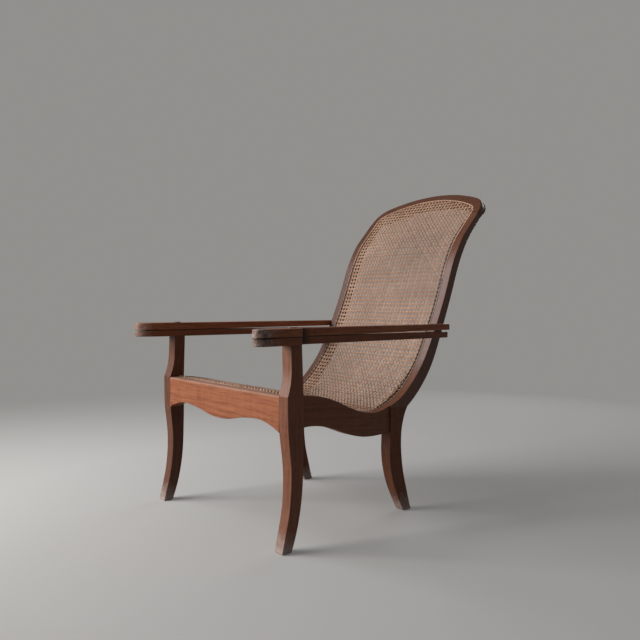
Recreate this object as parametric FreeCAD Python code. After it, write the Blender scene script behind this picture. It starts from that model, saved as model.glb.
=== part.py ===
"""A planter's armchair in hardwood and woven cane, with two leg rests that swing out round the front posts.

The chair faces -Y and is mirrored about X = 0. While it is modelled, y = 0 is just in front of the front posts
and z = 0 is the floor. At the end everything is shifted so that the origin is the middle of the footprint.
All lengths are in millimetres, and left means the sitter's left, at +X.
"""
import FreeCAD, Part
import math
import os

V = FreeCAD.Vector

# Height of the front rail's top above the floor, and heights counted from it
SEAT_HEIGHT = 450.0
POST_RISE = 148.0
REAR_JOINT_DROP = 86.0

# Half widths, from the middle of the chair to its outer faces
FRONT_HALF_WIDTH = 375.0
REAR_HALF_WIDTH = 291.0

# The line of the seat and back, seen from the side: down from the front rail to the dip, then up to the crest
DIP_REACH = 427.0
DIP_DROP = 92.0
BACK_REACH = 500.0
BACK_RISE = 674.0
BACK_TOP_ANGLE = 48.0
SEAT_LINE_SHARES = [(0.0, 0.0), (0.14, 0.02), (0.32, 0.14), (0.475, 0.335), (0.62, 0.61), (0.775, 0.86),
                    (0.9, 0.98), (1.0, 1.0)]
BACK_LINE_SHARES = [(0.124, 0.018), (0.238, 0.058), (0.356, 0.135), (0.464, 0.236), (0.548, 0.349),
                    (0.616, 0.454), (0.672, 0.55), (0.728, 0.66), (0.784, 0.77), (0.866, 0.883), (1.0, 1.0)]

# Front legs, one length of wood each from the floor to the arm
FRONT_LEG_WIDTH = 45.0
FRONT_LEG_DEPTH = 48.0
FRONT_LEG_SWEEP = 28.0
FRONT_LEG_STEP = 10.0
FRONT_LEG_FOOT_TAPER = 7.0
FRONT_LEG_TAPER_DROP = 120.0
POST_SETBACK = 7.0
POST_LEAN = 8.0
POST_COVE_HEIGHT = 84.0
FRONT_LEG_FRONT_SHARES = [(-1.04, 0.0), (-0.63, 0.111), (-0.29, 0.2), (-0.04, 0.289), (0.09, 0.378),
                          (0.14, 0.467), (0.1, 0.556), (-0.05, 0.644), (-0.23, 0.733), (-0.33, 0.86)]
FRONT_LEG_BACK_SHARES = [(0.1, 0.0), (0.46, 0.111), (0.67, 0.2), (0.82, 0.289), (0.92, 0.378), (0.97, 0.467),
                         (0.99, 0.57), (1.0, 0.68)]

# Rear legs
REAR_LEG_WIDTH = 46.5
REAR_LEG_PLACE = 494.0
REAR_LEG_SWEEP = 102.0
REAR_LEG_FOOT_TAPER = 11.0
REAR_LEG_TAPER_DROP = 94.0
REAR_LEG_FRONT_SHARES = [(0.64, 0.0), (0.48, 0.08), (0.34, 0.16), (0.21, 0.24), (0.11, 0.32), (0.03, 0.41),
                         (-0.02, 0.505), (-0.03, 0.59), (-0.015, 0.67), (0.0, 0.75)]
REAR_LEG_BACK_SHARES = [(1.01, 0.0), (0.88, 0.11), (0.765, 0.225), (0.65, 0.34), (0.57, 0.456),
                        (0.525, 0.562), (0.51, 0.637), (0.515, 0.714), (0.54, 0.79), (0.6, 0.864),
                        (0.69, 0.934)]

# Rails
FRONT_RAIL_DEPTH = 45.0
FRONT_RAIL_RECESS = 1.0
FRONT_RAIL_ROUNDING = 6.0
FRONT_RAIL_DROP = 103.0
FRONT_RAIL_EDGE_SHARES = [(0.0, 1.02), (0.18, 0.985), (0.38, 0.865), (0.56, 0.8), (0.7, 0.79), (0.84, 0.865),
                          (1.0, 1.04)]
SIDE_RAIL_FRONT_RECESS = 10.0
SIDE_RAIL_REAR_RECESS = 5.5
SIDE_RAIL_FRONT_DROP = 96.0
SIDE_RAIL_LOW_DROP = 170.0
SIDE_RAIL_EDGE_SHARES = [(0.0, 0.0), (0.17, 0.05), (0.29, 0.22), (0.42, 0.5), (0.55, 0.76), (0.68, 0.93),
                         (0.82, 1.0), (1.0, 1.0)]
REAR_RAIL_THICKNESS = 26.0
REAR_RAIL_DEPTH = 60.0
REAR_RAIL_DROP = 20.0
REAR_RAIL_SETBACK = 22.0

# Back frame
STILE_WIDTH = 42.0
STILE_DEPTH = 33.0
STILE_DEPTH_SHARES = [1.35, 1.38, 1.4, 1.36, 1.22, 1.06, 1.0, 1.0, 1.0, 0.94, 0.76]
CREST_FOOT = 45.0
CREST_RISE = 189.0
CREST_THICKNESS = 25.0
CREST_ARCH_RADIUS = 600.0
CREST_SHOULDER_RADIUS = 90.0
CREST_BAND = 44.0
CREST_INNER_ARCH_RADIUS = 488.0
CREST_INNER_SHOULDER_RADIUS = 38.0
ROLL_RADIUS = 23.0
ROLL_STANDOFF = 31.0
ROLL_END_INSET = 26.0

# Arms and leg rests, which share one outline
ARM_THICKNESS = 25.0
ARM_TAIL_RISE = 4.0
LEG_REST_THICKNESS = 23.4
LEG_REST_TIP_FALL = 4.0
LEG_REST_TAIL_FALL = 2.5
LEG_REST_SHORTFALL = 10.0
ARM_TIP_REACH = 124.0
ARM_TAIL_SETBACK = 6.5
PADDLE_WIDTH = 66.0
PADDLE_OVERHANG = 9.0
PADDLE_END = 36.0
ARM_TIP_SHARES = [(0.0, 0.05), (0.015, 0.32), (0.12, 0.62), (0.35, 0.863), (0.65, 0.984), (0.924, 0.976),
                  (1.09, 0.87), (1.136, 0.734)]
ARM_COVE_WIDTH = 29.0
ARM_COVE_LENGTH = 45.0
ARM_TAIL_WIDTH = 43.0
ARM_END_RADIUS = 15.0
ARM_LEVEL_LENGTH = 90.0
ARM_CONTACT_LENGTH = 110.0

# Cane and the shallow rebate that it lies in
CANE_REBATE_WIDTH = 12.0
CANE_REBATE_DEPTH = 3.0
CANE_THICKNESS = 2.2
CANE_BINDING_WIDTH = 5.0
CANE_BINDING_THICKNESS = 1.0
CANE_EDGE_GAP = 1.2
CANE_SEAT_GAP = 0.2

# The plain grid that stands for the openwork of the cane: openings across the back, and their share of the pitch
CANE_BACK_OPENINGS = 10
CANE_OPEN_SHARE = 0.5

# Joints
TENON_THICKNESS = 10.0
TENON_LENGTH = 20.0
TENON_SHOULDER = 14.0
TENON_CLEARANCE = 0.1
TENON_END_CLEARANCE = 1.0
REAR_TENON_LENGTH = 12.0
STILE_TENON_THICKNESS = 11.0
STILE_TENON_WIDTH = 22.0
STILE_TENON_LENGTH = 58.0
STILE_TENON_INSET = 14.0
STILE_TENON_SETBACK = 3.0
CREST_TENON_THICKNESS = 9.0
CREST_TENON_WIDTH = 22.0
CREST_TENON_LENGTH = 26.0
PEG_RADIUS = 3.5
PEG_COVER = 6.0
PEG_SPREAD = 0.25
PIVOT_RADIUS = 14.0
PIVOT_CLEARANCE = 0.08
PIVOT_GAP = 0.3
PIVOT_PROUD = 2.5
WEDGE_THICKNESS = 2.4
WEDGE_DEPTH = 18.0
DOWEL_RADIUS = 4.0
DOWEL_LENGTH = 42.0
DOWEL_SPACING = 14.0

# Finish, how far a cutting shape runs past what it cuts, and how flat an edge is that counts as flat
EDGE_ROUNDING = 2.0
FOOT_CHAMFER = 3.0
CREST_ROUNDING = 6.0
ARM_ROUNDING = 4.0
OVERRUN = 20.0
SEAM_OVERLAP = 60.0
SAME_PLANE = 0.2

POST_HEIGHT = SEAT_HEIGHT + POST_RISE
REAR_JOINT_HEIGHT = SEAT_HEIGHT - REAR_JOINT_DROP
LEG_REST_UNDERSIDE = POST_HEIGHT + PIVOT_GAP
ARM_UNDERSIDE = LEG_REST_UNDERSIDE + LEG_REST_THICKNESS + PIVOT_GAP
ARM_TOP = ARM_UNDERSIDE + ARM_THICKNESS
FRONT_LEG_INNER = FRONT_HALF_WIDTH - FRONT_LEG_WIDTH
PIVOT_X = FRONT_HALF_WIDTH - POST_LEAN - FRONT_LEG_WIDTH / 2
PIVOT_Y = (POST_SETBACK + FRONT_LEG_DEPTH) / 2
REAR_LEG_INNER = REAR_HALF_WIDTH - REAR_LEG_WIDTH
STILE_INNER = REAR_HALF_WIDTH - STILE_WIDTH
SIDE_RAIL_THICKNESS = STILE_WIDTH - SIDE_RAIL_REAR_RECESS
SIDE_RAIL_LENGTH = REAR_LEG_PLACE - FRONT_LEG_DEPTH
FRONT_RAIL_FACE = FRONT_RAIL_RECESS - FRONT_LEG_STEP
FRONT_RAIL_BACK = FRONT_RAIL_FACE + FRONT_RAIL_DEPTH
DIP_HEIGHT = SEAT_HEIGHT - DIP_DROP
BACK_TOP = V(0, DIP_REACH + BACK_REACH, DIP_HEIGHT + BACK_RISE)
LEAN = math.radians(BACK_TOP_ANGLE)
UP_BACK = V(0, math.cos(LEAN), math.sin(LEAN))
OUT_BACK = V(0, math.sin(LEAN), -math.cos(LEAN))
TALL = BACK_TOP.z + CREST_RISE + OVERRUN
PLUS_X = V(1, 0, 0)
PLUS_Y = V(0, 1, 0)
PLUS_Z = V(0, 0, 1)


def line(a, b):
    return Part.LineSegment(a, b).toShape()


def arc(a, middle, b):
    return Part.Arc(a, middle, b).toShape()


def spline(points, start=None, end=None):
    """One smooth edge through the points, with set directions at its ends where they are given."""
    curve = Part.BSplineCurve()
    if start is None:
        curve.interpolate(Points=points)
    else:
        curve.interpolate(Points=points, InitialTangent=start, FinalTangent=end)
    return curve.toShape()


def side_view(shares, reach, rise, start_y=0.0, start_z=0.0):
    """Points of the side view from shares of a reach in y and a rise in z."""
    return [V(0, start_y + reach * a, start_z + rise * b) for a, b in shares]


def face_of(edges):
    wires = Part.sortEdges(edges)
    return Part.Face(Part.Wire(wires[0]))


def slab(edges, x_low, x_high):
    """A side-view outline made solid between two values of x."""
    face = face_of(edges)
    face.translate(PLUS_X * x_low)
    return face.extrude(PLUS_X * (x_high - x_low))


def plan_prism(points, z_low, z_high):
    """An outline of points (x, y) made solid between two heights."""
    corners = [V(x, y, z_low) for x, y in points]
    return Part.Face(Part.makePolygon(corners + corners[:1])).extrude(PLUS_Z * (z_high - z_low))


def box(x, y, z):
    """A box between the low and high values on each axis."""
    return Part.makeBox(x[1] - x[0], y[1] - y[0], z[1] - z[0], V(x[0], y[0], z[0]))


def mortise(spans, axis):
    """The hole for a tenon whose spans in x, y and z are given: more clearance at its ends along one axis."""
    gaps = [TENON_CLEARANCE] * 3
    gaps[axis] = TENON_END_CLEARANCE
    return box(*[(low - gap, high + gap) for (low, high), gap in zip(spans, gaps)])


def mirrored(shape):
    return shape.mirror(V(0, 0, 0), PLUS_X)


def rounded(shape, radius, wanted):
    """Rounds the edges that the test picks out."""
    return shape.makeFillet(radius, [edge for edge in shape.Edges if wanted(edge)])


def runs_along_x(edge):
    box_of_edge = edge.BoundBox
    return box_of_edge.XLength > max(box_of_edge.YLength, box_of_edge.ZLength)


def flat_in_x(edge):
    """True of an edge that lies in one plane of constant x."""
    return edge.BoundBox.XLength < SAME_PLANE


# The line of the seat and back

def seat_line_points():
    """The points of the seat and back line from the front to its straight top, and its direction at each."""
    points = side_view(SEAT_LINE_SHARES, DIP_REACH, -DIP_DROP, 0, SEAT_HEIGHT)
    points += side_view(BACK_LINE_SHARES, BACK_REACH, BACK_RISE, DIP_REACH, DIP_HEIGHT)
    curve = spline(points, PLUS_Y, UP_BACK).Curve
    ways = [V(*curve.tangent(curve.parameter(point))[0]) for point in points]
    return points, ways


LINE_POINTS, LINE_WAYS = seat_line_points()


def behind(points, ways, depths):
    """Points moved square to the line, away from the sitter."""
    return [point + V(0, way.z, -way.y) * depth for point, way, depth in zip(points, ways, depths)]


def line_at_depth(depth, top_rise):
    """The seat and back line at one depth below its surface: level start, curve and straight top."""
    points = behind(LINE_POINTS, LINE_WAYS, [depth] * len(LINE_POINTS))
    start = points[0] - PLUS_Y * OVERRUN
    top = points[-1] + UP_BACK * top_rise
    return [line(start, points[0]), spline(points, PLUS_Y, UP_BACK), line(points[-1], top)]


def band(near, far):
    """The space between two depths below the seat and back line, right across the chair."""
    top_rise = CREST_RISE + OVERRUN
    upper = line_at_depth(near, top_rise)
    lower = line_at_depth(far, top_rise)
    shift = V(0, 0, near - far)
    start = LINE_POINTS[0] - PLUS_Y * OVERRUN - PLUS_Z * near
    end = BACK_TOP + UP_BACK * top_rise + OUT_BACK * near
    ends = [line(start, start + shift), line(end, end + OUT_BACK * (far - near))]
    return slab(upper + lower + ends, -FRONT_HALF_WIDTH, FRONT_HALF_WIDTH)


def under_line():
    """All that lies below the seat line, to trim the tops of the rails."""
    edges = line_at_depth(0, OVERRUN)
    start = LINE_POINTS[0] - PLUS_Y * OVERRUN
    end = BACK_TOP + UP_BACK * OVERRUN
    floor_end = V(0, end.y, 0)
    floor_start = V(0, start.y, 0)
    edges += [line(end, floor_end), line(floor_end, floor_start), line(floor_start, start)]
    return slab(edges, -FRONT_HALF_WIDTH, FRONT_HALF_WIDTH)


# The face of the back, where the crest and the top of the cane are set out

def on_back(x, up, out=0.0):
    """A point on the straight top of the back: x, the way up its slope, and the depth behind its face."""
    return BACK_TOP + PLUS_X * x + UP_BACK * up + OUT_BACK * out


def arch_block(half_width, top, arch_radius, shoulder_radius, foot, out_low, out_high):
    """Straight sides, round shoulders and a flat arch, made solid behind the face of the back."""
    arch_centre = top - arch_radius
    reach = arch_radius - shoulder_radius
    side = half_width - shoulder_radius
    shoulder = arch_centre + math.sqrt(reach ** 2 - side ** 2)
    turn = math.atan2(side, shoulder - arch_centre)
    half_turn = (math.pi / 2 + turn) / 2
    knee_x = side + shoulder_radius * math.sin(turn)
    knee_up = shoulder + shoulder_radius * math.cos(turn)
    bend_x = side + shoulder_radius * math.sin(half_turn)
    bend_up = shoulder + shoulder_radius * math.cos(half_turn)
    edges = [line(on_back(-half_width, foot), on_back(half_width, foot)),
             arc(on_back(knee_x, knee_up), on_back(0, top), on_back(-knee_x, knee_up))]
    for hand in (1, -1):
        edges.append(line(on_back(hand * half_width, foot), on_back(hand * half_width, shoulder)))
        edges.append(arc(on_back(hand * half_width, shoulder), on_back(hand * bend_x, bend_up),
                         on_back(hand * knee_x, knee_up)))
    face = face_of(edges)
    face.translate(OUT_BACK * out_low)
    return face.extrude(OUT_BACK * (out_high - out_low))


def opening_block(grow, foot, out_low, out_high):
    """The top of the opening in the back frame, made larger all round by grow."""
    return arch_block(STILE_INNER + grow, CREST_RISE - CREST_BAND + grow, CREST_INNER_ARCH_RADIUS + grow,
                      CREST_INNER_SHOULDER_RADIUS + grow, foot, out_low, out_high)


# Legs

def front_view(points):
    """A leg as seen from the front, as points (x, z), made solid from front to back to trim the leg with."""
    corners = [V(x, -ARM_TIP_REACH, z) for x, z in points]
    return Part.Face(Part.makePolygon(corners + corners[:1])).extrude(PLUS_Y * (ARM_TIP_REACH + BACK_TOP.y))


def on_floor(edge):
    """True of an edge that lies on the floor."""
    return edge.BoundBox.ZMax < EDGE_ROUNDING


def leg_rounded(leg, width):
    """Takes the sharp edges off round the foot of a leg, and then rounds its long edges."""
    leg = leg.makeChamfer(FOOT_CHAMFER, [edge for edge in leg.Edges if on_floor(edge)])
    return rounded(leg, EDGE_ROUNDING, lambda e: not runs_along_x(e) and e.BoundBox.ZLength > width)


def front_leg_outline():
    """The side view: a swept foot, a flat back where the rail meets it, and a post with a cove in front."""
    front = side_view(FRONT_LEG_FRONT_SHARES, FRONT_LEG_SWEEP, SEAT_HEIGHT)
    front.append(V(0, -FRONT_LEG_STEP, SEAT_HEIGHT))
    back = side_view(FRONT_LEG_BACK_SHARES, FRONT_LEG_DEPTH, SEAT_HEIGHT)
    cove_top = V(0, POST_SETBACK, SEAT_HEIGHT + POST_COVE_HEIGHT)
    cove_depth = POST_SETBACK + FRONT_LEG_STEP
    cove_radius = (POST_COVE_HEIGHT ** 2 + cove_depth ** 2) / (2 * cove_depth)
    half_way = cove_radius - math.sqrt(cove_radius ** 2 - (POST_COVE_HEIGHT / 2) ** 2)
    cove_middle = V(0, POST_SETBACK - half_way, SEAT_HEIGHT + POST_COVE_HEIGHT / 2)
    post_front = V(0, POST_SETBACK, POST_HEIGHT)
    post_back = V(0, FRONT_LEG_DEPTH, POST_HEIGHT)
    return [spline(front), arc(front[-1], cove_middle, cove_top), line(cove_top, post_front),
            line(post_front, post_back), line(post_back, back[-1]), spline(back), line(back[0], front[0])]


def pivot(radius, low, high):
    return Part.makeCylinder(radius, high - low, V(PIVOT_X, PIVOT_Y, low))


def wedge(gap=0.0):
    """The wedge in the top of the post's round tenon."""
    top = ARM_TOP + PIVOT_PROUD
    across = (PIVOT_X - PIVOT_RADIUS, PIVOT_X + PIVOT_RADIUS)
    along = (PIVOT_Y - WEDGE_THICKNESS / 2, PIVOT_Y + WEDGE_THICKNESS / 2)
    return box(across, along, (top - WEDGE_DEPTH, top)).common(pivot(PIVOT_RADIUS, POST_HEIGHT, top))


def front_leg():
    leg = slab(front_leg_outline(), FRONT_LEG_INNER - POST_LEAN, FRONT_HALF_WIDTH)
    leg = leg.common(front_view([(FRONT_HALF_WIDTH, 0), (FRONT_HALF_WIDTH, SEAT_HEIGHT),
                                 (FRONT_HALF_WIDTH - POST_LEAN, POST_HEIGHT),
                                 (FRONT_LEG_INNER - POST_LEAN, POST_HEIGHT), (FRONT_LEG_INNER, SEAT_HEIGHT),
                                 (FRONT_LEG_INNER, SEAT_HEIGHT - FRONT_LEG_TAPER_DROP),
                                 (FRONT_LEG_INNER + FRONT_LEG_FOOT_TAPER, 0)]))
    leg = leg_rounded(leg, FRONT_LEG_WIDTH)
    leg = leg.fuse(pivot(PIVOT_RADIUS, POST_HEIGHT, ARM_TOP + PIVOT_PROUD)).removeSplitter()
    leg = leg.cut(wedge())
    leg = leg.cut(mortise(front_rail_tenon(), 0))
    leg = leg.cut(mortise(side_rail_front_tenon(), 1))
    for peg in side_rail_front_pegs():
        leg = leg.cut(peg)
    return leg


def stile_back():
    """The curve of the stile's back, and its points, from the dip up to the straight top."""
    count = len(STILE_DEPTH_SHARES)
    depths = [STILE_DEPTH * share for share in STILE_DEPTH_SHARES]
    points = behind(LINE_POINTS[-count:], LINE_WAYS[-count:], depths)
    return points, spline(points)


def where_level(edge, height):
    """The y at which a curve of the side view crosses a height."""
    level = line(V(0, 0, height), V(0, TALL, height))
    return edge.distToShape(level)[1][0][0].y


def rear_leg_block():
    """The rear leg before its joints are cut. Its top ends where the back of the stile comes down to it."""
    front = side_view(REAR_LEG_FRONT_SHARES, REAR_LEG_SWEEP, REAR_JOINT_HEIGHT, REAR_LEG_PLACE)
    back = side_view(REAR_LEG_BACK_SHARES, REAR_LEG_SWEEP, REAR_JOINT_HEIGHT, REAR_LEG_PLACE)
    back.append(V(0, where_level(stile_back()[1], REAR_JOINT_HEIGHT), REAR_JOINT_HEIGHT))
    top_front = V(0, REAR_LEG_PLACE, REAR_JOINT_HEIGHT)
    edges = [spline(front), line(front[-1], top_front), line(top_front, back[-1]), spline(back),
             line(back[0], front[0])]
    leg = slab(edges, REAR_LEG_INNER, REAR_HALF_WIDTH)
    leg = leg.common(front_view([(REAR_HALF_WIDTH, 0), (REAR_HALF_WIDTH, REAR_JOINT_HEIGHT),
                                 (REAR_LEG_INNER, REAR_JOINT_HEIGHT),
                                 (REAR_LEG_INNER, REAR_JOINT_HEIGHT - REAR_LEG_TAPER_DROP),
                                 (REAR_LEG_INNER + REAR_LEG_FOOT_TAPER, 0)]))
    return leg_rounded(leg, REAR_LEG_WIDTH)


def rear_leg():
    leg = rear_leg_block()
    leg = leg.cut(mortise(side_rail_rear_tenon(), 1))
    leg = leg.cut(mortise(rear_rail_tenon(), 0))
    leg = leg.cut(mortise(stile_tenon(), 2))
    for peg in side_rail_rear_pegs() + rear_rail_pegs() + stile_pegs():
        leg = leg.cut(peg)
    return leg


# Rails. Each tenon is given by its spans in x, y and z, on the +X side.

def rail_outer(y):
    """The x of the side rail's outer face at a value of y. The seat narrows towards the back."""
    front = FRONT_HALF_WIDTH - SIDE_RAIL_FRONT_RECESS
    rear = REAR_HALF_WIDTH - SIDE_RAIL_REAR_RECESS
    return front + (rear - front) * (y - FRONT_LEG_DEPTH) / SIDE_RAIL_LENGTH


def rail_inner(y):
    return rail_outer(y) - SIDE_RAIL_THICKNESS


def centred(middle, width):
    return (middle - width / 2, middle + width / 2)


def front_rail_tenon():
    middle = (FRONT_RAIL_FACE + FRONT_RAIL_BACK) / 2
    return [(FRONT_LEG_INNER, FRONT_LEG_INNER + TENON_LENGTH), centred(middle, TENON_THICKNESS),
            (SEAT_HEIGHT - FRONT_RAIL_DROP + TENON_SHOULDER, SEAT_HEIGHT - TENON_SHOULDER)]


def side_rail_front_tenon():
    middle = (FRONT_LEG_INNER + rail_outer(FRONT_LEG_DEPTH)) / 2
    return [centred(middle, TENON_THICKNESS), (FRONT_LEG_DEPTH - TENON_LENGTH, FRONT_LEG_DEPTH),
            (SEAT_HEIGHT - SIDE_RAIL_FRONT_DROP + TENON_SHOULDER, SEAT_HEIGHT - TENON_SHOULDER)]


def side_rail_rear_tenon():
    middle = (REAR_LEG_INNER + rail_outer(REAR_LEG_PLACE)) / 2
    low = SEAT_HEIGHT - SIDE_RAIL_LOW_DROP
    return [centred(middle, TENON_THICKNESS), (REAR_LEG_PLACE, REAR_LEG_PLACE + TENON_LENGTH),
            (low + TENON_SHOULDER, REAR_JOINT_HEIGHT - TENON_SHOULDER)]


def rear_rail_spans():
    top = REAR_JOINT_HEIGHT - REAR_RAIL_DROP
    front = REAR_LEG_PLACE + REAR_RAIL_SETBACK
    return [(-REAR_LEG_INNER, REAR_LEG_INNER), (front, front + REAR_RAIL_THICKNESS),
            (top - REAR_RAIL_DEPTH, top)]


def rear_rail_tenon():
    x, y, z = rear_rail_spans()
    return [(REAR_LEG_INNER, REAR_LEG_INNER + REAR_TENON_LENGTH), centred((y[0] + y[1]) / 2, TENON_THICKNESS),
            (z[0] + TENON_SHOULDER, z[1] - TENON_SHOULDER)]


def stile_tenon():
    """The tongue that goes down from the foot of the stile into the top of the rear leg."""
    outer = REAR_HALF_WIDTH - STILE_TENON_INSET
    front = REAR_LEG_PLACE + TENON_LENGTH + STILE_TENON_SETBACK
    return [(outer - STILE_TENON_THICKNESS, outer), (front, front + STILE_TENON_WIDTH),
            (REAR_JOINT_HEIGHT - STILE_TENON_LENGTH, REAR_JOINT_HEIGHT)]


def tenon_middle(tenon):
    return [(low + high) / 2 for low, high in tenon]


def side_rail_pegs(tenon, inner, width):
    """Two pegs across one tenon of a side rail, driven in from inside the leg and hidden from outside."""
    x, y, z = tenon_middle(tenon)
    spread = (tenon[2][1] - tenon[2][0]) * PEG_SPREAD
    return [Part.makeCylinder(PEG_RADIUS, width - PEG_COVER, V(inner, y, height), PLUS_X)
            for height in (z - spread, z + spread)]


def side_rail_front_pegs():
    return side_rail_pegs(side_rail_front_tenon(), FRONT_LEG_INNER, FRONT_LEG_WIDTH)


def side_rail_rear_pegs():
    return side_rail_pegs(side_rail_rear_tenon(), REAR_LEG_INNER, REAR_LEG_WIDTH)


def rear_rail_pegs():
    """One peg in each end of the rear rail, driven in from behind and trimmed to the back of the leg."""
    x, y, z = tenon_middle(rear_rail_tenon())
    front = y - TENON_THICKNESS
    peg = Part.makeCylinder(PEG_RADIUS, REAR_LEG_PLACE + REAR_LEG_SWEEP - front, V(x, front, z), PLUS_Y)
    return [peg.common(rear_leg_block())]


def stile_pegs():
    """One peg across the tongue at the foot of each stile, driven in from inside the leg."""
    x, y, z = tenon_middle(stile_tenon())
    height = REAR_JOINT_HEIGHT - PEG_COVER - PEG_RADIUS
    return [Part.makeCylinder(PEG_RADIUS, REAR_LEG_WIDTH - PEG_COVER, V(REAR_LEG_INNER, y, height), PLUS_X)]


def front_rail():
    half = FRONT_LEG_INNER
    right = [V(half * a, 0, SEAT_HEIGHT - FRONT_RAIL_DROP * b) for a, b in FRONT_RAIL_EDGE_SHARES]
    left = [V(-point.x, 0, point.z) for point in reversed(right[1:])]
    lower = left + right
    top_left = V(-half, 0, SEAT_HEIGHT)
    top_right = V(half, 0, SEAT_HEIGHT)
    face = face_of([spline(lower), line(lower[-1], top_right), line(top_right, top_left),
                    line(top_left, lower[0])])
    face.translate(PLUS_Y * FRONT_RAIL_FACE)
    rail = face.extrude(PLUS_Y * FRONT_RAIL_DEPTH)
    below_top = SEAT_HEIGHT - EDGE_ROUNDING
    nose = FRONT_RAIL_FACE + EDGE_ROUNDING
    rail = rounded(rail, EDGE_ROUNDING, lambda e: runs_along_x(e) and e.BoundBox.ZMin < below_top)
    rail = rounded(rail, FRONT_RAIL_ROUNDING, lambda e: e.BoundBox.ZMin > below_top and e.BoundBox.YMax < nose)
    tenon = box(*front_rail_tenon())
    rail = rail.fuse([tenon, mirrored(tenon)]).removeSplitter()
    return rail.cut(REBATE)


def side_rail():
    span_y = (FRONT_LEG_DEPTH, REAR_LEG_PLACE)
    fall = SIDE_RAIL_LOW_DROP - SIDE_RAIL_FRONT_DROP
    start_z = SEAT_HEIGHT - SIDE_RAIL_FRONT_DROP
    lower = side_view(SIDE_RAIL_EDGE_SHARES, SIDE_RAIL_LENGTH, -fall, FRONT_LEG_DEPTH, start_z)
    high = SEAT_HEIGHT + OVERRUN
    high_front = V(0, span_y[0], high)
    high_rear = V(0, span_y[1], high)
    edges = [spline(lower), line(lower[-1], high_rear), line(high_rear, high_front),
             line(high_front, lower[0])]
    rail = slab(edges, 0, FRONT_HALF_WIDTH)
    plan = [(rail_outer(span_y[0]), span_y[0]), (rail_outer(span_y[1]), span_y[1]),
            (rail_inner(span_y[1]), span_y[1]), (rail_inner(span_y[0]), span_y[0])]
    rail = rail.common(plan_prism(plan, 0, high)).common(UNDER_LINE)
    long_edges = SIDE_RAIL_LENGTH / 2
    rail = rounded(rail, EDGE_ROUNDING, lambda e: e.BoundBox.YLength > long_edges)
    rail = rail.fuse([box(*side_rail_front_tenon()), box(*side_rail_rear_tenon())]).removeSplitter()
    rail = rail.cut(REBATE)
    for peg in side_rail_front_pegs() + side_rail_rear_pegs():
        rail = rail.cut(peg)
    return rail


def rear_rail():
    rail = box(*rear_rail_spans())
    rail = rounded(rail, EDGE_ROUNDING, runs_along_x)
    tenon = box(*rear_rail_tenon())
    rail = rail.fuse([tenon, mirrored(tenon)]).removeSplitter()
    for peg in rear_rail_pegs():
        rail = rail.cut(peg).cut(mirrored(peg))
    return rail


# Back frame

def stile():
    back, back_curve = stile_back()
    top_front = BACK_TOP + UP_BACK * CREST_FOOT
    top_back = top_front + OUT_BACK * STILE_DEPTH * STILE_DEPTH_SHARES[-1]
    start = LINE_POINTS[0] - PLUS_Y * OVERRUN
    edges = line_at_depth(0, CREST_FOOT)
    edges += [line(top_front, top_back), line(top_back, back[-1]), back_curve,
              line(back[0], V(0, back[0].y, 0)), line(V(0, back[0].y, 0), V(0, start.y, 0)),
              line(V(0, start.y, 0), start)]
    upright = slab(edges, STILE_INNER, REAR_HALF_WIDTH)
    region = box((STILE_INNER, REAR_HALF_WIDTH), (REAR_LEG_PLACE, TALL), (REAR_JOINT_HEIGHT, TALL))
    upright = upright.common(region)
    long_edges = BACK_RISE / 2
    upright = rounded(upright, EDGE_ROUNDING, lambda e: flat_in_x(e) and e.BoundBox.ZLength > long_edges)
    upright = upright.fuse([box(*stile_tenon()), crest_tenon(0.0, 0.0)]).removeSplitter()
    upright = upright.cut(REBATE)
    for hole in stile_pegs() + crest_pegs() + arm_dowels():
        upright = upright.cut(hole)
    return upright


def crest_tenon(gap, end_gap):
    """The tenon on top of the stile, in line with the slope, with room round it where it is a mortise."""
    x = centred((STILE_INNER + CANE_REBATE_WIDTH + REAR_HALF_WIDTH) / 2, CREST_TENON_WIDTH + 2 * gap)
    out = centred(CREST_THICKNESS / 2, CREST_TENON_THICKNESS + 2 * gap)
    corners = [on_back(x[0], CREST_FOOT, out[0]), on_back(x[1], CREST_FOOT, out[0]),
               on_back(x[1], CREST_FOOT, out[1]), on_back(x[0], CREST_FOOT, out[1])]
    face = Part.Face(Part.makePolygon(corners + corners[:1]))
    return face.extrude(UP_BACK * (CREST_TENON_LENGTH + end_gap))


def crest_pegs():
    """One peg in each stile's top tenon, driven in from behind."""
    x = (STILE_INNER + CANE_REBATE_WIDTH + REAR_HALF_WIDTH) / 2
    foot = on_back(x, CREST_FOOT + CREST_TENON_LENGTH / 2, PEG_COVER)
    return [Part.makeCylinder(PEG_RADIUS, CREST_THICKNESS - PEG_COVER, foot, OUT_BACK)]


def crest_roll():
    """The round roll along the back of the crest, which follows its arch and stops short of the shoulders."""
    path_radius = CREST_ARCH_RADIUS - ROLL_RADIUS
    arch_centre = CREST_RISE - CREST_ARCH_RADIUS
    centre = on_back(0, arch_centre + path_radius, ROLL_STANDOFF)
    axis_foot = on_back(0, arch_centre, ROLL_STANDOFF)
    half = REAR_HALF_WIDTH - ROLL_END_INSET
    turn = math.degrees(math.asin((half + ROLL_RADIUS) / path_radius))
    circle = Part.Face(Part.Wire(Part.Circle(centre, PLUS_X, ROLL_RADIUS).toShape()))
    circle.rotate(axis_foot, OUT_BACK, -turn)
    roll = circle.revolve(axis_foot, OUT_BACK, 2 * turn)
    roll = roll.common(box((-half, half), (0, TALL), (0, TALL)))
    return rounded(roll, ARM_ROUNDING, flat_in_x)


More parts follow.
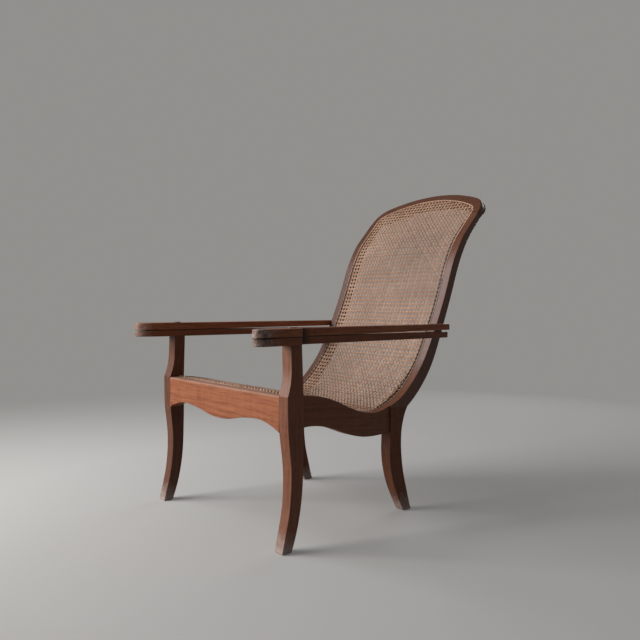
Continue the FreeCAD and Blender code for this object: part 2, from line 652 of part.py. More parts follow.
def crest_rail():
    plate = arch_block(REAR_HALF_WIDTH, CREST_RISE, CREST_ARCH_RADIUS, CREST_SHOULDER_RADIUS, CREST_FOOT, 0,
                       CREST_THICKNESS)
    plate = plate.cut(opening_block(0, CREST_FOOT - OVERRUN, -OVERRUN, CREST_THICKNESS + OVERRUN))
    inner_limit = STILE_INNER + EDGE_ROUNDING

    def outer_front(edge):
        middle = edge.BoundBox.Center - BACK_TOP
        on_face = abs(middle.dot(OUT_BACK)) < SAME_PLANE and edge.Length > CREST_THICKNESS
        first = edge.Vertexes[0].Point - BACK_TOP
        outside = abs(first.x) > inner_limit or first.dot(UP_BACK) > CREST_RISE - CREST_BAND / 2
        at_foot = abs(first.dot(UP_BACK) - CREST_FOOT) < EDGE_ROUNDING
        level = edge.BoundBox.XLength > STILE_WIDTH / 2 and edge.BoundBox.ZLength < EDGE_ROUNDING
        return on_face and outside and not (at_foot and level)

    plate = rounded(plate, CREST_ROUNDING, outer_front)
    crest = plate.fuse(crest_roll()).removeSplitter()
    crest = crest.cut(REBATE)
    for solid in [crest_tenon(TENON_CLEARANCE, TENON_END_CLEARANCE)] + crest_pegs():
        crest = crest.cut(solid).cut(mirrored(solid))
    return crest


# Arms and leg rests

def arm_middle_height():
    return (ARM_UNDERSIDE + ARM_TAIL_RISE + ARM_TOP) / 2


def arm_reach():
    """The y at which an arm ends, just in front of the back of the stile that it is joined to."""
    return where_level(stile_back()[1], arm_middle_height()) - ARM_TAIL_SETBACK


def arm_outline(inner_gap, inner_radius, reach):
    """The plan of an arm: a paddle with a swept round tip, a cove behind the post, and a narrow tail.

    The inner corner of the tail is round where a radius is given for it, and otherwise square.
    """
    outer = FRONT_HALF_WIDTH + PADDLE_OVERHANG
    inner = outer - PADDLE_WIDTH
    tip = [V(inner + PADDLE_WIDTH * a, -ARM_TIP_REACH * b, 0) for a, b in ARM_TIP_SHARES]
    cove_start = V(outer, PADDLE_END, 0)
    cove_end = V(outer - ARM_COVE_WIDTH, PADDLE_END + ARM_COVE_LENGTH, 0)
    turn = math.sqrt(0.5)
    cove_middle = V(outer - ARM_COVE_WIDTH * turn, PADDLE_END + ARM_COVE_LENGTH * (1 - turn), 0)
    tail_inner = REAR_HALF_WIDTH + inner_gap
    tail_outer = REAR_HALF_WIDTH + ARM_TAIL_WIDTH
    end = ARM_END_RADIUS
    end_slack = end * (1 - turn)
    outer_end = V(tail_outer, reach - end, 0)
    end_outer = V(tail_outer - end, reach, 0)
    end_inner = V(tail_inner + inner_radius, reach, 0)
    inner_end = V(tail_inner, reach - inner_radius, 0)
    inner_slack = inner_radius * (1 - turn)
    contact = V(tail_inner, reach - ARM_CONTACT_LENGTH, 0)
    paddle_inner = V(inner, PADDLE_END, 0)
    edges = [spline(tip), line(tip[-1], cove_start), spline([cove_start, cove_middle, cove_end]),
             line(cove_end, outer_end),
             arc(outer_end, V(tail_outer - end_slack, reach - end_slack, 0), end_outer),
             line(end_outer, end_inner), line(inner_end, contact), line(contact, paddle_inner),
             line(paddle_inner, tip[0])]
    if inner_radius > 0:
        edges.append(arc(end_inner, V(tail_inner + inner_slack, reach - inner_slack, 0), inner_end))
    return edges


def arm_side_prism(points):
    """The side view of an arm, right across its width."""
    corners = [V(0, y, z) for y, z in points]
    face = Part.Face(Part.makePolygon(corners + corners[:1]))
    return face.extrude(PLUS_X * (FRONT_HALF_WIDTH + OVERRUN))


def arm_board(edges, underside, thickness):
    face = face_of(edges)
    face.translate(PLUS_Z * underside)
    return face.extrude(PLUS_Z * thickness)


def arm():
    back = arm_reach()
    board = arm_board(arm_outline(0.0, 0.0, back), ARM_UNDERSIDE, ARM_THICKNESS)
    front = -ARM_TIP_REACH - OVERRUN
    high = ARM_TOP + OVERRUN
    side = [(front, ARM_UNDERSIDE), (ARM_LEVEL_LENGTH, ARM_UNDERSIDE), (back, ARM_UNDERSIDE + ARM_TAIL_RISE),
            (back + OVERRUN, ARM_UNDERSIDE + ARM_TAIL_RISE), (back + OVERRUN, high), (front, high)]
    board = board.common(arm_side_prism(side))
    board = rounded(board, ARM_ROUNDING, lambda e: e.BoundBox.ZMin > ARM_TOP - EDGE_ROUNDING)
    board = board.cut(pivot(PIVOT_RADIUS + TENON_CLEARANCE, POST_HEIGHT, ARM_TOP + OVERRUN))
    for dowel in arm_dowels():
        board = board.cut(dowel)
    return board


def leg_rest():
    reach = arm_reach() - LEG_REST_SHORTFALL
    board = arm_board(arm_outline(PIVOT_GAP, ARM_END_RADIUS, reach), LEG_REST_UNDERSIDE, LEG_REST_THICKNESS)
    top = LEG_REST_UNDERSIDE + LEG_REST_THICKNESS
    front = -ARM_TIP_REACH - OVERRUN
    low = LEG_REST_UNDERSIDE - OVERRUN
    level_front = PIVOT_Y - ARM_LEVEL_LENGTH / 2
    level_back = PIVOT_Y + ARM_LEVEL_LENGTH / 2
    side = [(front, low), (reach, low), (reach, top - LEG_REST_TAIL_FALL), (level_back, top),
            (level_front, top), (-ARM_TIP_REACH, top - LEG_REST_TIP_FALL), (front, top - LEG_REST_TIP_FALL)]
    board = board.common(arm_side_prism(side))
    board = rounded(board, ARM_ROUNDING, lambda e: e.BoundBox.ZMax < LEG_REST_UNDERSIDE + EDGE_ROUNDING)
    return board.cut(pivot(PIVOT_RADIUS + PIVOT_CLEARANCE, POST_HEIGHT, ARM_TOP))


def arm_dowels():
    """Two dowels on each side, in the middle of the patch where the arm lies against the stile."""
    rise = arm_middle_height()
    middle = (where_level(spline(LINE_POINTS), rise) + arm_reach()) / 2
    start = REAR_HALF_WIDTH - DOWEL_LENGTH / 2
    places = (middle - DOWEL_SPACING / 2, middle + DOWEL_SPACING / 2)
    return [Part.makeCylinder(DOWEL_RADIUS, DOWEL_LENGTH, V(start, y, rise), PLUS_X) for y in places]


# Cane

def cane_space(inset):
    """The space over the woven area, drawn in from the outer edge of its rebate by an inset."""
    grow = CANE_REBATE_WIDTH - inset
    front = FRONT_RAIL_BACK - grow
    half_front = rail_inner(front) + grow
    half_rear = STILE_INNER + grow
    middle = BACK_TOP.y - OVERRUN
    seat = plan_prism([(-half_front, front), (half_front, front), (half_rear, REAR_LEG_PLACE),
                       (half_rear, middle), (-half_rear, middle), (-half_rear, REAR_LEG_PLACE)], 0, TALL)
    arch = opening_block(grow, -SEAM_OVERLAP, -OVERRUN, OVERRUN)
    arch = arch.common(box((-half_rear, half_rear), (middle, TALL), (0, TALL)))
    return seat.fuse(arch)


def post_notches(gap):
    """The room that the front posts take from the corners of the cane."""
    notch = box((FRONT_LEG_INNER - gap, FRONT_HALF_WIDTH), (-ARM_TIP_REACH, FRONT_LEG_DEPTH + gap),
                (0, ARM_TOP))
    return [notch, mirrored(notch)]


def cane_grid():
    """One block for each opening of the grid, square to the seat and back line.

    The rows follow each other along the line at the pitch of the columns. The columns stay parallel, so the grid
    gains one on each side where the seat is wide enough for it.
    """
    pitch = 2 * STILE_INNER / CANE_BACK_OPENINGS
    side = pitch * CANE_OPEN_SHARE
    curve = line_at_depth(0, CREST_RISE)[1]
    woven = curve.Length + CREST_RISE - CREST_BAND - FRONT_RAIL_BACK
    rows = int(woven / pitch)
    first = FRONT_RAIL_BACK + (woven - (rows - 1) * pitch) / 2
    columns = int(FRONT_LEG_INNER / pitch)
    clear = cane_space(CANE_REBATE_WIDTH + (pitch - side) / 2)
    blocks = []
    for row in range(rows):
        length = first + row * pitch
        if length < curve.Length:
            parameter = curve.getParameterByLength(length)
            middle = curve.valueAt(parameter)
            way = curve.tangentAt(parameter)
        else:
            middle = BACK_TOP + UP_BACK * (length - curve.Length)
            way = UP_BACK
        out = V(0, way.z, -way.y)
        for column in range(-columns, columns):
            centre = middle + PLUS_X * (column + 0.5) * pitch
            corners = [centre + PLUS_X * (a * side / 2) + way * (b * side / 2)
                       for a, b in ((-1, -1), (1, -1), (1, 1), (-1, 1))]
            if all(clear.isInside(corner, SAME_PLANE, True) for corner in corners):
                lowered = [corner - out * OVERRUN for corner in corners]
                face = Part.Face(Part.makePolygon(lowered + lowered[:1]))
                blocks.append(face.extrude(out * 2 * OVERRUN))
    return blocks


def cane_panel():
    top = CANE_REBATE_DEPTH - CANE_SEAT_GAP - CANE_THICKNESS
    panel = band(top, top + CANE_THICKNESS).common(cane_space(CANE_EDGE_GAP))
    for notch in post_notches(CANE_EDGE_GAP):
        panel = panel.cut(notch)
    openings = cane_grid()
    print("openings in the cane: %d" % len(openings))
    return panel.removeSplitter().cut(openings)


def cane_binding():
    low = CANE_REBATE_DEPTH - 2 * CANE_SEAT_GAP - CANE_THICKNESS
    ring = band(low - CANE_BINDING_THICKNESS, low).common(cane_space(CANE_EDGE_GAP))
    ring = ring.cut(cane_space(CANE_EDGE_GAP + CANE_BINDING_WIDTH))
    for notch in post_notches(CANE_EDGE_GAP):
        ring = ring.cut(notch)
    return ring.removeSplitter()


UNDER_LINE = under_line()
REBATE = band(-OVERRUN, CANE_REBATE_DEPTH).common(cane_space(0.0))


def both_sides(shapes):
    """The shapes and their mirror images, as one group of separate solids."""
    return Part.makeCompound(list(shapes) + [mirrored(shape) for shape in shapes])


def main():
    parts = {
        "front_rail": front_rail(),
        "rear_rail": rear_rail(),
        "crest_rail": crest_rail(),
        "cane_panel": cane_panel(),
        "cane_binding": cane_binding(),
        "side_rail_pegs": both_sides(side_rail_front_pegs() + side_rail_rear_pegs()),
        "rear_rail_pegs": both_sides(rear_rail_pegs()),
        "stile_pegs": both_sides(stile_pegs()),
        "crest_pegs": both_sides(crest_pegs()),
        "arm_dowels": both_sides(arm_dowels()),
        "arm_wedges": both_sides([wedge()]),
    }
    pairs = {"front_leg": front_leg(), "rear_leg": rear_leg(), "side_rail": side_rail(), "stile": stile(),
             "arm": arm(), "leg_rest": leg_rest()}
    for name, shape in pairs.items():
        parts[name + "_left"] = shape
        parts[name + "_right"] = mirrored(shape)
    spans = [parts[name].optimalBoundingBox(False, False) for name in ("arm_left", "crest_rail")]
    middle = (min(span.YMin for span in spans) + max(span.YMax for span in spans)) / 2
    os.makedirs("parts", exist_ok=True)
    print("middle of the footprint at y = %.3f" % middle)
    for name, shape in parts.items():
        shape.translate(V(0, -middle, 0))
        shape.exportStep("parts/" + name + ".step")
        bounds = shape.optimalBoundingBox(False, False)
        print("%-18s %d solids, volume %.0f, x %.1f to %.1f, y %.1f to %.1f, z %.1f to %.1f"
              % (name, len(shape.Solids), shape.Volume, bounds.XMin, bounds.XMax, bounds.YMin, bounds.YMax,
                 bounds.ZMin, bounds.ZMax))


if __name__ == "__main__":
    main()
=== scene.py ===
"""The planters chair in a plain studio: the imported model, its woven cane, its wood and the light.

Everything is in metres in the model's own frame: +Z is up, the chair faces -Y and +X is the sitter's left.
"""

import math

import bpy
import numpy as np
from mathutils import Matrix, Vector
from mathutils.bvhtree import BVHTree


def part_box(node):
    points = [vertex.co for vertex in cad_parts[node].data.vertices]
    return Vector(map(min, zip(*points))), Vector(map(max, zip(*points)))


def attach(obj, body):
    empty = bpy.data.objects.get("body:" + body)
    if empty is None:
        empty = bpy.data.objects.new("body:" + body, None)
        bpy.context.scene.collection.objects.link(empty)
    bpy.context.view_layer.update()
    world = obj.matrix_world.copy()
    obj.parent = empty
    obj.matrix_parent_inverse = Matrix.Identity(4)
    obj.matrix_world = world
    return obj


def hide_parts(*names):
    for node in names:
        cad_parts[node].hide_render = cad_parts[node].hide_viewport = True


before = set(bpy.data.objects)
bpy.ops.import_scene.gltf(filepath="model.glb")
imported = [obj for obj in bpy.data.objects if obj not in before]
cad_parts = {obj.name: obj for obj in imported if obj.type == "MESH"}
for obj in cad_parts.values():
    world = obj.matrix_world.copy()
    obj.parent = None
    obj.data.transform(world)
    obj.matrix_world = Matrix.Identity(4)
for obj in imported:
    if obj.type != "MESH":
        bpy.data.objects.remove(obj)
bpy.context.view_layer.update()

# The line of the seat and back, seen from the side. Its shares are those of the CAD source.
LINE_START = (-0.480433, 0.45)
DIP_REACH = 0.427
DIP_DROP = 0.092
BACK_REACH = 0.5
BACK_RISE = 0.674
BACK_TOP_ANGLE = math.radians(48)
SEAT_SHARES = [(0.0, 0.0), (0.14, 0.02), (0.32, 0.14), (0.475, 0.335), (0.62, 0.61), (0.775, 0.86),
               (0.9, 0.98), (1.0, 1.0)]
BACK_SHARES = [(0.124, 0.018), (0.238, 0.058), (0.356, 0.135), (0.464, 0.236), (0.548, 0.349), (0.616, 0.454),
               (0.672, 0.55), (0.728, 0.66), (0.784, 0.77), (0.866, 0.883), (1.0, 1.0)]
# Points worked out between two given ones, and how many go straight on above the last, how far apart
SPAN_POINTS = 40
BEYOND_POINTS = 100
BEYOND_STEP = 0.002
# A rise small enough to find which way is out of the line
SMALL_RISE = 0.001

# The opening in the frame that the cane fills, how far up the back the crest begins behind it, and the front
# posts that cut its corners
SEAT_OPENING_START = 0.036
SEAT_OPENING_END = 0.494
OPENING_HALF_FRONT = 0.3306
OPENING_HALF_BACK = 0.249
OPENING_TOP = 0.145
OPENING_ARCH_RADIUS = 0.488
OPENING_SHOULDER_RADIUS = 0.038
CREST_FOOT = 0.045
POST_INNER = 0.33
POST_BACK = 0.048
POST_CLEARANCE = 0.002

# Where things lie outside the opening, on the frame, and how deep below the line the weave lies
BINDING_PLACE = 0.0083
STRAND_END = 0.0075
WEAVE_DEPTH = 0.0017

# The section of a split strand in shares of its width and thickness: flat at the back and rounded in front
SECTION = [(-0.5, -0.2), (0.5, -0.2), (0.26, 0.5), (-0.26, 0.5)]
# How far a strand's fibres are shifted by its tone, so that no two strands look the same
FIBRE_SHIFT = 3

# The six-way weave: its pitch, the strands of a pair, how far strands rise where they cross, and how far a
# strand wanders from its line and over what length
PITCH = 0.0165
PAIR_OFFSET = 0.0023
STRAND_WIDTH = 0.0037
DIAGONAL_WIDTH = 0.0034
STRAND_THICKNESS = 0.0012
PAIR_RISE = 0.0006
DIAGONAL_RISE = 0.0013
DIAGONAL_KNEE = 0.13
WANDER = 0.00035
WANDER_LENGTH = 0.19
WEAVE_SEED = 11
# Strands laid out past the opening before they are cut off, and the fewest points of one that is kept
SPARE_STRANDS = 2
FEWEST_POINTS = 4

# The uprights share out the width of the back, and the last pair on each side stays clear of the frame
UPRIGHT_PAIRS = 30
UPRIGHT_MARGIN = 0.0048
UPRIGHT_CLEARANCE = 0.002

# Painted shade on the strands: how far it reaches from the frame, and how much lies at the left side, at the
# right side and where a strand passes below another
SHADE_REACH = 0.004
SHADE_LEFT = 1.0
SHADE_RIGHT = 0.5
SHADE_BELOW = 0.55
# Soft stains: place across and along the line, reach in both directions, and amount
STAINS = [(0.2, 0.55, 0.1, 0.13, 0.16), (0.06, 1.2, 0.13, 0.15, 0.2), (-0.14, 0.95, 0.06, 0.1, 0.1),
          (0.02, 0.78, 0.12, 0.06, 0.08)]

# The frayed edge at the left stile. Strands are bunched along it, painted black as the shade in the gap
# there:
# their stretch of the line and how far their ends differ, the torn ones that end lower, how far both lie
# inwards, their rise and their wave
FRAY_START = 0.47
FRAY_END = 0.98
FRAY_START_SPREAD = 0.05
FRAY_END_SPREAD = 0.12
BUNCHED_STRANDS = 7
BUNCH_WIDTH = 0.009
BUNCH_RISE = -0.0008
TORN_STRANDS = 7
TORN_END = 0.7
TORN_WIDTH = 0.016
TORN_RISE = 0.0005
BUNCH_STEP = 0.004
BUNCH_WAVE = 0.0012
BUNCH_WAVE_LENGTHS = (0.03, 0.06)
BUNCH_WAVE_STARTS = (0, 6)
# Light loose ends stand up from it: their stretch, length, turn from the edge and height, and the long one
LOOSE_ENDS = 15
LOOSE_POINTS = 9
LOOSE_STRETCH = (0.48, 0.66)
LOOSE_LENGTH = (0.012, 0.034)
LOOSE_TURN = (0.5, 2.2)
LOOSE_RISE = (0.002, 0.007)
LOOSE_INSET = 0.003
LOOSE_FOOT = 0.001
LONG_END = 0.085
LONG_END_START = 0.03
LONG_END_TURN = 0.06

# The edge of the cane is walked in small steps, stays clear of the front posts, and begins with the front
EDGE_STEP = 0.0005
EDGE_POST_GAP = 0.004
FRONT_RUNS = 2

# The ties over the binding
TIE_WIDTH = 0.003
TIE_REACH = 0.0036
TIE_THICKNESS = 0.0009
TIE_RISE = 0.0019
FRONT_TIE_RISE = 0.0052
FRONT_TIE_SPREAD = 1.5
TIE_SINK = 0.0015
TIE_POINTS = 7
TIE_SLANT = 0.2

# The strands that run from hole to hole behind the frame, and how far off the frame is searched for from
BRIDGE_WIDTH = 0.0026
BRIDGE_RISE = 0.0006
BRIDGE_DIP = 0.0016
BRIDGE_POINTS = 6
LONGEST_BRIDGE = 1.6 * PITCH
RAIL_HOLE_DEPTH = 0.036
RAIL_SEARCH = 0.1
BACK_SEARCH = 0.2

# Colours of the wood: its figure from dark to light, rubbed wood that also serves as painted highlight, grey
# and handled wood, and painted shade
WOOD_DARK = (0.11, 0.03, 0.015)
WOOD_MIDDLE = (0.29, 0.094, 0.042)
WOOD_LIGHT = (0.41, 0.155, 0.076)
WOOD_WORN_AND_HIGHLIT = (0.45, 0.29, 0.22)
WOOD_GREY = (0.43, 0.35, 0.31)
WOOD_HANDLED = (0.09, 0.06, 0.05)
WOOD_PAINTED_SHADE = (0.012, 0.006, 0.004)
WOOD_STOPS = [(0.44, WOOD_DARK), (0.665, WOOD_MIDDLE), (0.89, WOOD_LIGHT)]

# Noise in the wood: scale, detail and roughness. The grain is drawn out along the board, the ripple across.
RING_WARP = (9.0, 2.0, 0.55)
STREAKS = (170.0, 5.0, 0.6)
FIBRES = (520.0, 3.0, 0.6)
RIPPLE = (60.0, 2.0, 0.5)
MOTTLE = (24.0, 4.0, 0.65)
PATCHES = (5.5, 3.0, 0.6)
PORES = (900.0, 2.0, 0.5)
RAGGED = (34.0, 5.0, 0.7)
HANDLED_MOTTLE = (70.0, 4.0, 0.7)
RINGS = {"Scale": 26.0, "Distortion": 2.6, "Detail": 3.0, "Detail Scale": 1.4, "Detail Roughness": 0.6}
GRAIN_DRAWN = 0.06
RINGS_DRAWN = 0.1
RIPPLE_DRAWN = 0.3
RING_SHIFT = 0.02
# How much each layer adds to the figure
RING_SHARE = 0.07
STREAK_SHARE = 0.6
FIBRE_SHARE = 0.3
RIPPLE_SHARE = 0.17
MOTTLE_SHARE = 0.22
# A range turns the values between its first two numbers into those between its last two
FADED_RANGE = (0.35, 0.75, 0.0, 0.5)
FADED_SHARE = 0.45
PORE_RANGE = (0.6, 0.7)
PORE_SHARE = 0.3
PORE_DEPTH = 0.5
ROUGH_RANGE = (0.3, 0.7)
WOOD_RELIEF = (0.2, 0.0005)
# Rubbed edges: the radius that tells an edge, how unlike its directions are, and how much is rubbed
EDGE_RADIUS = 0.0035
EDGE_SAMPLES = 4
EDGE_RANGE = (0.985, 0.8)
RUBBED_RANGE = (0.45, 0.65, 0.05, 0.55)
# Painted shade on sides that look the shaded way, by how well they look in that direction, and on the edge of
# the rebate round the cane
SIDE_SHADE_RANGE = (0.3, 0.6, 0.0, 0.92)
REBATE_SHADE_FADE = (0.001, -0.0005)
REBATE_SHADE_AMOUNT = 0.85
REBATE_SHADE_INSET = 0.002
# The handled tips of the arms: their ragged reach, and per side the reach from the tip and the amount
TIP_RAGGED = 0.09
TIP_FADE = (0.075, 0.02)
TIP_MOTTLE_RANGE = (0.35, 0.65)
WORN_TIP = {"left": (0.05, 0.78), "right": (0.02, 0.6)}
# The top of the front rail, rubbed pale and with a painted highlight
WORN_AND_HIGHLIT_TOP_DEPTH = 0.003
WORN_AND_HIGHLIT_TOP_RAGGED = 0.012
WORN_AND_HIGHLIT_TOP_FADE = 0.008
WORN_AND_HIGHLIT_TOP_AMOUNT = 0.5
# The scuffed feet
SCUFF_RAGGED = 0.09
SCUFF_RANGE = (0.02, -0.045, 0.0, 0.85)
# Painted shade beside the seam between arm and leg rest, and in a band on their outer side behind the left
# paddles, where the cove lies
SEAM_SHADE_DEPTH = 0.0022
SEAM_SHADE_FULL_SHARE = 0.4
SEAM_SHADE_AMOUNT = 0.9
COVE_SHADE_BAND = (-0.434, -0.412, -0.388)
COVE_SHADE_BAND_FADE = 0.003
COVE_SHADE_BAND_AMOUNT = 0.8
UPRIGHT_FACE_RANGE = (0.8, 0.4)
OUTER_FACE_RANGE = (0.3, 0.7)

# Each board's grain direction, and how far its heart lies from the middle of the piece
GRAIN = {
    "front_leg": (0.0, 0.05, 1.0), "rear_leg": (0.0, -0.2, 1.0), "front_rail": (1.0, 0.0, 0.0),
    "rear_rail": (1.0, 0.0, 0.0), "crest_rail": (1.0, 0.0, 0.0), "side_rail": (-0.18, 1.0, -0.1),
    "stile": (0.0, 0.58, 0.81), "arm": (0.0, 1.0, 0.0), "leg_rest": (0.0, 1.0, 0.0),
    "side_rail_pegs": (1.0, 0.0, 0.0), "rear_rail_pegs": (0.0, 1.0, 0.0), "stile_pegs": (1.0, 0.0, 0.0),
    "crest_pegs": (0.0, 0.7, -0.7), "arm_dowels": (1.0, 0.0, 0.0), "arm_wedges": (0.0, 0.0, 1.0),
}
HEART_OFFSET = (0.04, 0.09)
WOOD_SEED = 5
# Of a node or a kind of piece: how light its wood is, how strongly it shines, and its roughness where smooth
# and where not
FINISH = {
    "front_rail": (1.0, 0.15, 0.42, 0.56), "front_leg": (0.62, 0.3, 0.34, 0.46),
    # The right front leg is darker than the left as painted shade
    "front_leg_right": (0.4, 0.28, 0.34, 0.46), "rear_leg": (0.5, 0.2, 0.38, 0.5),
    "side_rail": (0.6, 0.2, 0.4, 0.52), "stile": (0.45, 0.38, 0.26, 0.36),
    "stile_right": (0.32, 0.38, 0.26, 0.36), "crest_rail": (0.34, 0.27, 0.28, 0.38),
    "arm": (1.05, 0.2, 0.38, 0.5), "leg_rest": (0.7, 0.2, 0.38, 0.5),
}
PLAIN_FINISH = (0.8, 0.2, 0.4, 0.52)
# Which way the sides look that are painted in shade: inwards on the frame's sides, and down or back elsewhere
SHADED_SIDE = {
    "stile_left": (-1.0, 0.0, 0.0), "stile_right": (1.0, 0.0, 0.0), "side_rail_left": (-1.0, 0.0, 0.0),
    "side_rail_right": (1.0, 0.0, 0.0), "crest_rail": (0.0, -0.34, -0.94), "front_rail": (0.0, 1.0, 0.0),
    "arm_left": (0.2, 0.98, 0.0), "leg_rest_left": (0.2, 0.98, 0.0), "arm_right": (-0.2, 0.98, 0.0),
    "leg_rest_right": (-0.2, 0.98, 0.0),
}
# The x inside which the wood round the cane is painted dark as the shade of the rebate: at y = 0, and how it
# changes with y
SEAT_EDGE_PER_Y = (OPENING_HALF_BACK - OPENING_HALF_FRONT) / (SEAT_OPENING_END - SEAT_OPENING_START)
SEAT_EDGE = OPENING_HALF_FRONT - SEAT_EDGE_PER_Y * (LINE_START[0] + SEAT_OPENING_START)
REBATE_SHADE = {
    "stile": (OPENING_HALF_BACK + BINDING_PLACE - REBATE_SHADE_INSET, 0.0),
    "side_rail": (SEAT_EDGE + BINDING_PLACE - REBATE_SHADE_INSET, SEAT_EDGE_PER_Y),
}

# Cane: its colours from strand to strand, stains, fibres, growth joints, dirt and painted shade, and shine
CANE_STOPS = [(0.0, (0.44, 0.245, 0.155)), (0.45, (0.6, 0.36, 0.245)), (1.0, (0.74, 0.5, 0.365))]
CANE_STAINED = (0.3, 0.14, 0.07)
CANE_FIBRE = (0.33, 0.19, 0.11)
CANE_JOINT = (0.2, 0.11, 0.06)
CANE_DIRT_AND_SHADE = (0.03, 0.016, 0.01)
CANE_SHINE = 0.4
CANE_ROUGHNESS = 0.42
CANE_RELIEF = (0.3, 0.0003)
STAIN_NOISE = (5.0, 3.0, 0.6)
STAIN_RANGE = (0.45, 0.7, 0.0, 0.45)
STRAND_NOISE = (1.0, 3.0, 0.55)
STRAND_DRAWN = (60.0, 14.0, 1.0)
FIBRE_RANGE = (0.35, 0.7, 0.0, 0.35)
JOINT_NOISE = (1.0, 1.0, 0.55)
JOINT_DRAWN = (7.0, 0.2, 1.0)
JOINT_RANGE = (0.68, 0.72, 0.0, 0.45)
BINDING_NOISE = (40.0, 2.0, 0.55)
BINDING_ROUGHNESS = 0.45
BINDING_RELIEF = (0.2, 0.0003)
BINDING_SHINE = 0.5
BINDING_RAGGED = 0.3
# Painted shade on the binding low down at both sides: the heights over which it grows and its amount, and the
# x over which it comes in
BINDING_SHADE_LOW_RANGE = (1.15, 0.95, 0.0, 0.8)
BINDING_SHADE_SIDE_RANGE = (0.2, 0.24)

# Studio: the backdrop, the floor's paint and what it sends back, and the even light from all round
BACKDROP = (0.285, 0.279, 0.268)
FLOOR_PAINT = (0.5, 0.492, 0.478)
FLOOR_GLOW = (0.08, 0.078, 0.075)
FLOOR_BOUNCE = (0.3, 0.29, 0.28)
FLOOR_NEAR = 1.2
FLOOR_FAR = 3.4
FLOOR_RADIUS = 40.0
FLOOR_CORNERS = 96
FLOOR_DROP = 0.0005
FILL_LIGHT = (0.115, 0.115, 0.12)
# Soft lights: name, place, the point each is turned to, width and height, power and colour
LIGHTS = [
    ("window", (-2.1, -4.0, 1.9), (0.0, 0.0, 0.5), (2.6, 2.2), 232, (1.0, 0.98, 0.95)),
    ("sky", (-1.88, -1.44, 2.58), (0.27, 0.31, 0.8), (1.1, 1.1), 22, (0.88, 0.94, 1.0)),
    ("rear window", (-1.7, 3.9, 1.4), (0.0, 0.0, 0.6), (2.6, 1.8), 50, (0.97, 0.98, 1.0)),
]

# Camera, fitted to the photograph
CAMERA_PLACE = (1.961, -1.6974, 0.72)
CAMERA_YAW = 50.13
CAMERA_PITCH = -1.39
CAMERA_ROLL = -0.2
CAMERA_LENS = 39.46
SENSOR_WIDTH = 36.0


# The seat line as a function of the length along it

def clamped_spline(points, start_way, end_way, per_span):
    """A cubic spline through points by chord length, with its directions at both ends given.

    The slope at each point solves the usual equations for equal curvature on both sides of it, and the curve
    between two points is the cubic with those slopes.
    """
    points = np.array(points)
    spans = np.linalg.norm(np.diff(points, axis=0), axis=1)
    count = len(points)
    system = np.eye(count)
    wanted = np.zeros((count, 2))
    wanted[0] = start_way
    wanted[-1] = end_way
    for i in range(1, count - 1):
        before = spans[i - 1]
        after = spans[i]
        system[i, i - 1:i + 2] = (after, 2 * (before + after), before)
        step_before = after * (points[i] - points[i - 1]) / before
        step_after = before * (points[i + 1] - points[i]) / after
        wanted[i] = 3 * (step_before + step_after)
    slopes = np.linalg.solve(system, wanted)
    share = np.linspace(0, 1, per_span, endpoint=False)[:, None]
    first = 2 * share ** 3 - 3 * share ** 2 + 1
    last = 3 * share ** 2 - 2 * share ** 3
    first_slope = share ** 3 - 2 * share ** 2 + share
    last_slope = share ** 3 - share ** 2
    rows = []
    for i in range(count - 1):
        rows.append(first * points[i] + last * points[i + 1] + first_slope * spans[i] * slopes[i]
                    + last_slope * spans[i] * slopes[i + 1])
    rows.append(points[-1:])
    return np.concatenate(rows)


def walked(points):
    """The length walked from the first of some points to each of them."""
    return np.concatenate([[0], np.cumsum(np.linalg.norm(np.diff(points, axis=0), axis=1))])


def seat_line():
    """The line from the front rail to above the crest: length along it, y and z, the direction there, and the
    length at the top of the back.

    It is the spline through the seat's and the back's points, and goes straight on above the last of them.
    """
    start_y, start_z = LINE_START
    dip_y = start_y + DIP_REACH
    dip_z = start_z - DIP_DROP
    points = [(start_y + DIP_REACH * a, start_z - DIP_DROP * b) for a, b in SEAT_SHARES]
    points += [(dip_y + BACK_REACH * a, dip_z + BACK_RISE * b) for a, b in BACK_SHARES]
    top_way = (math.cos(BACK_TOP_ANGLE), math.sin(BACK_TOP_ANGLE))
    line = clamped_spline(points, (1, 0), top_way, SPAN_POINTS)
    beyond = line[-1] + np.outer(np.arange(1, BEYOND_POINTS + 1) * BEYOND_STEP, top_way)
    line = np.concatenate([line, beyond])
    lengths = walked(line)
    ways = np.gradient(line, lengths, axis=0)
    ways /= np.linalg.norm(ways, axis=1)[:, None]
    return lengths, line, ways, lengths[-BEYOND_POINTS - 1]


LENGTHS, LINE, WAYS, BACK_TOP_LENGTH = seat_line()


def on_line(x, length, rise):
    """Points at x across, a length along the seat line, and a rise square to it towards the sitter."""
    y = np.interp(length, LENGTHS, LINE[:, 0])
    z = np.interp(length, LENGTHS, LINE[:, 1])
    way_y = np.interp(length, LENGTHS, WAYS[:, 0])
    way_z = np.interp(length, LENGTHS, WAYS[:, 1])
    return np.stack(np.broadcast_arrays(x, y - way_z * rise, z + way_y * rise), axis=-1)


def length_at(reach):
    """The length along the line at a reach in y from its start, read off the line, whose y only grows."""
    return float(np.interp(LINE_START[0] + reach, LINE[:, 0], LENGTHS))


FRONT_LENGTH = length_at(SEAT_OPENING_START)
SEAT_END_LENGTH = length_at(SEAT_OPENING_END)
POST_LENGTH = length_at(POST_BACK)


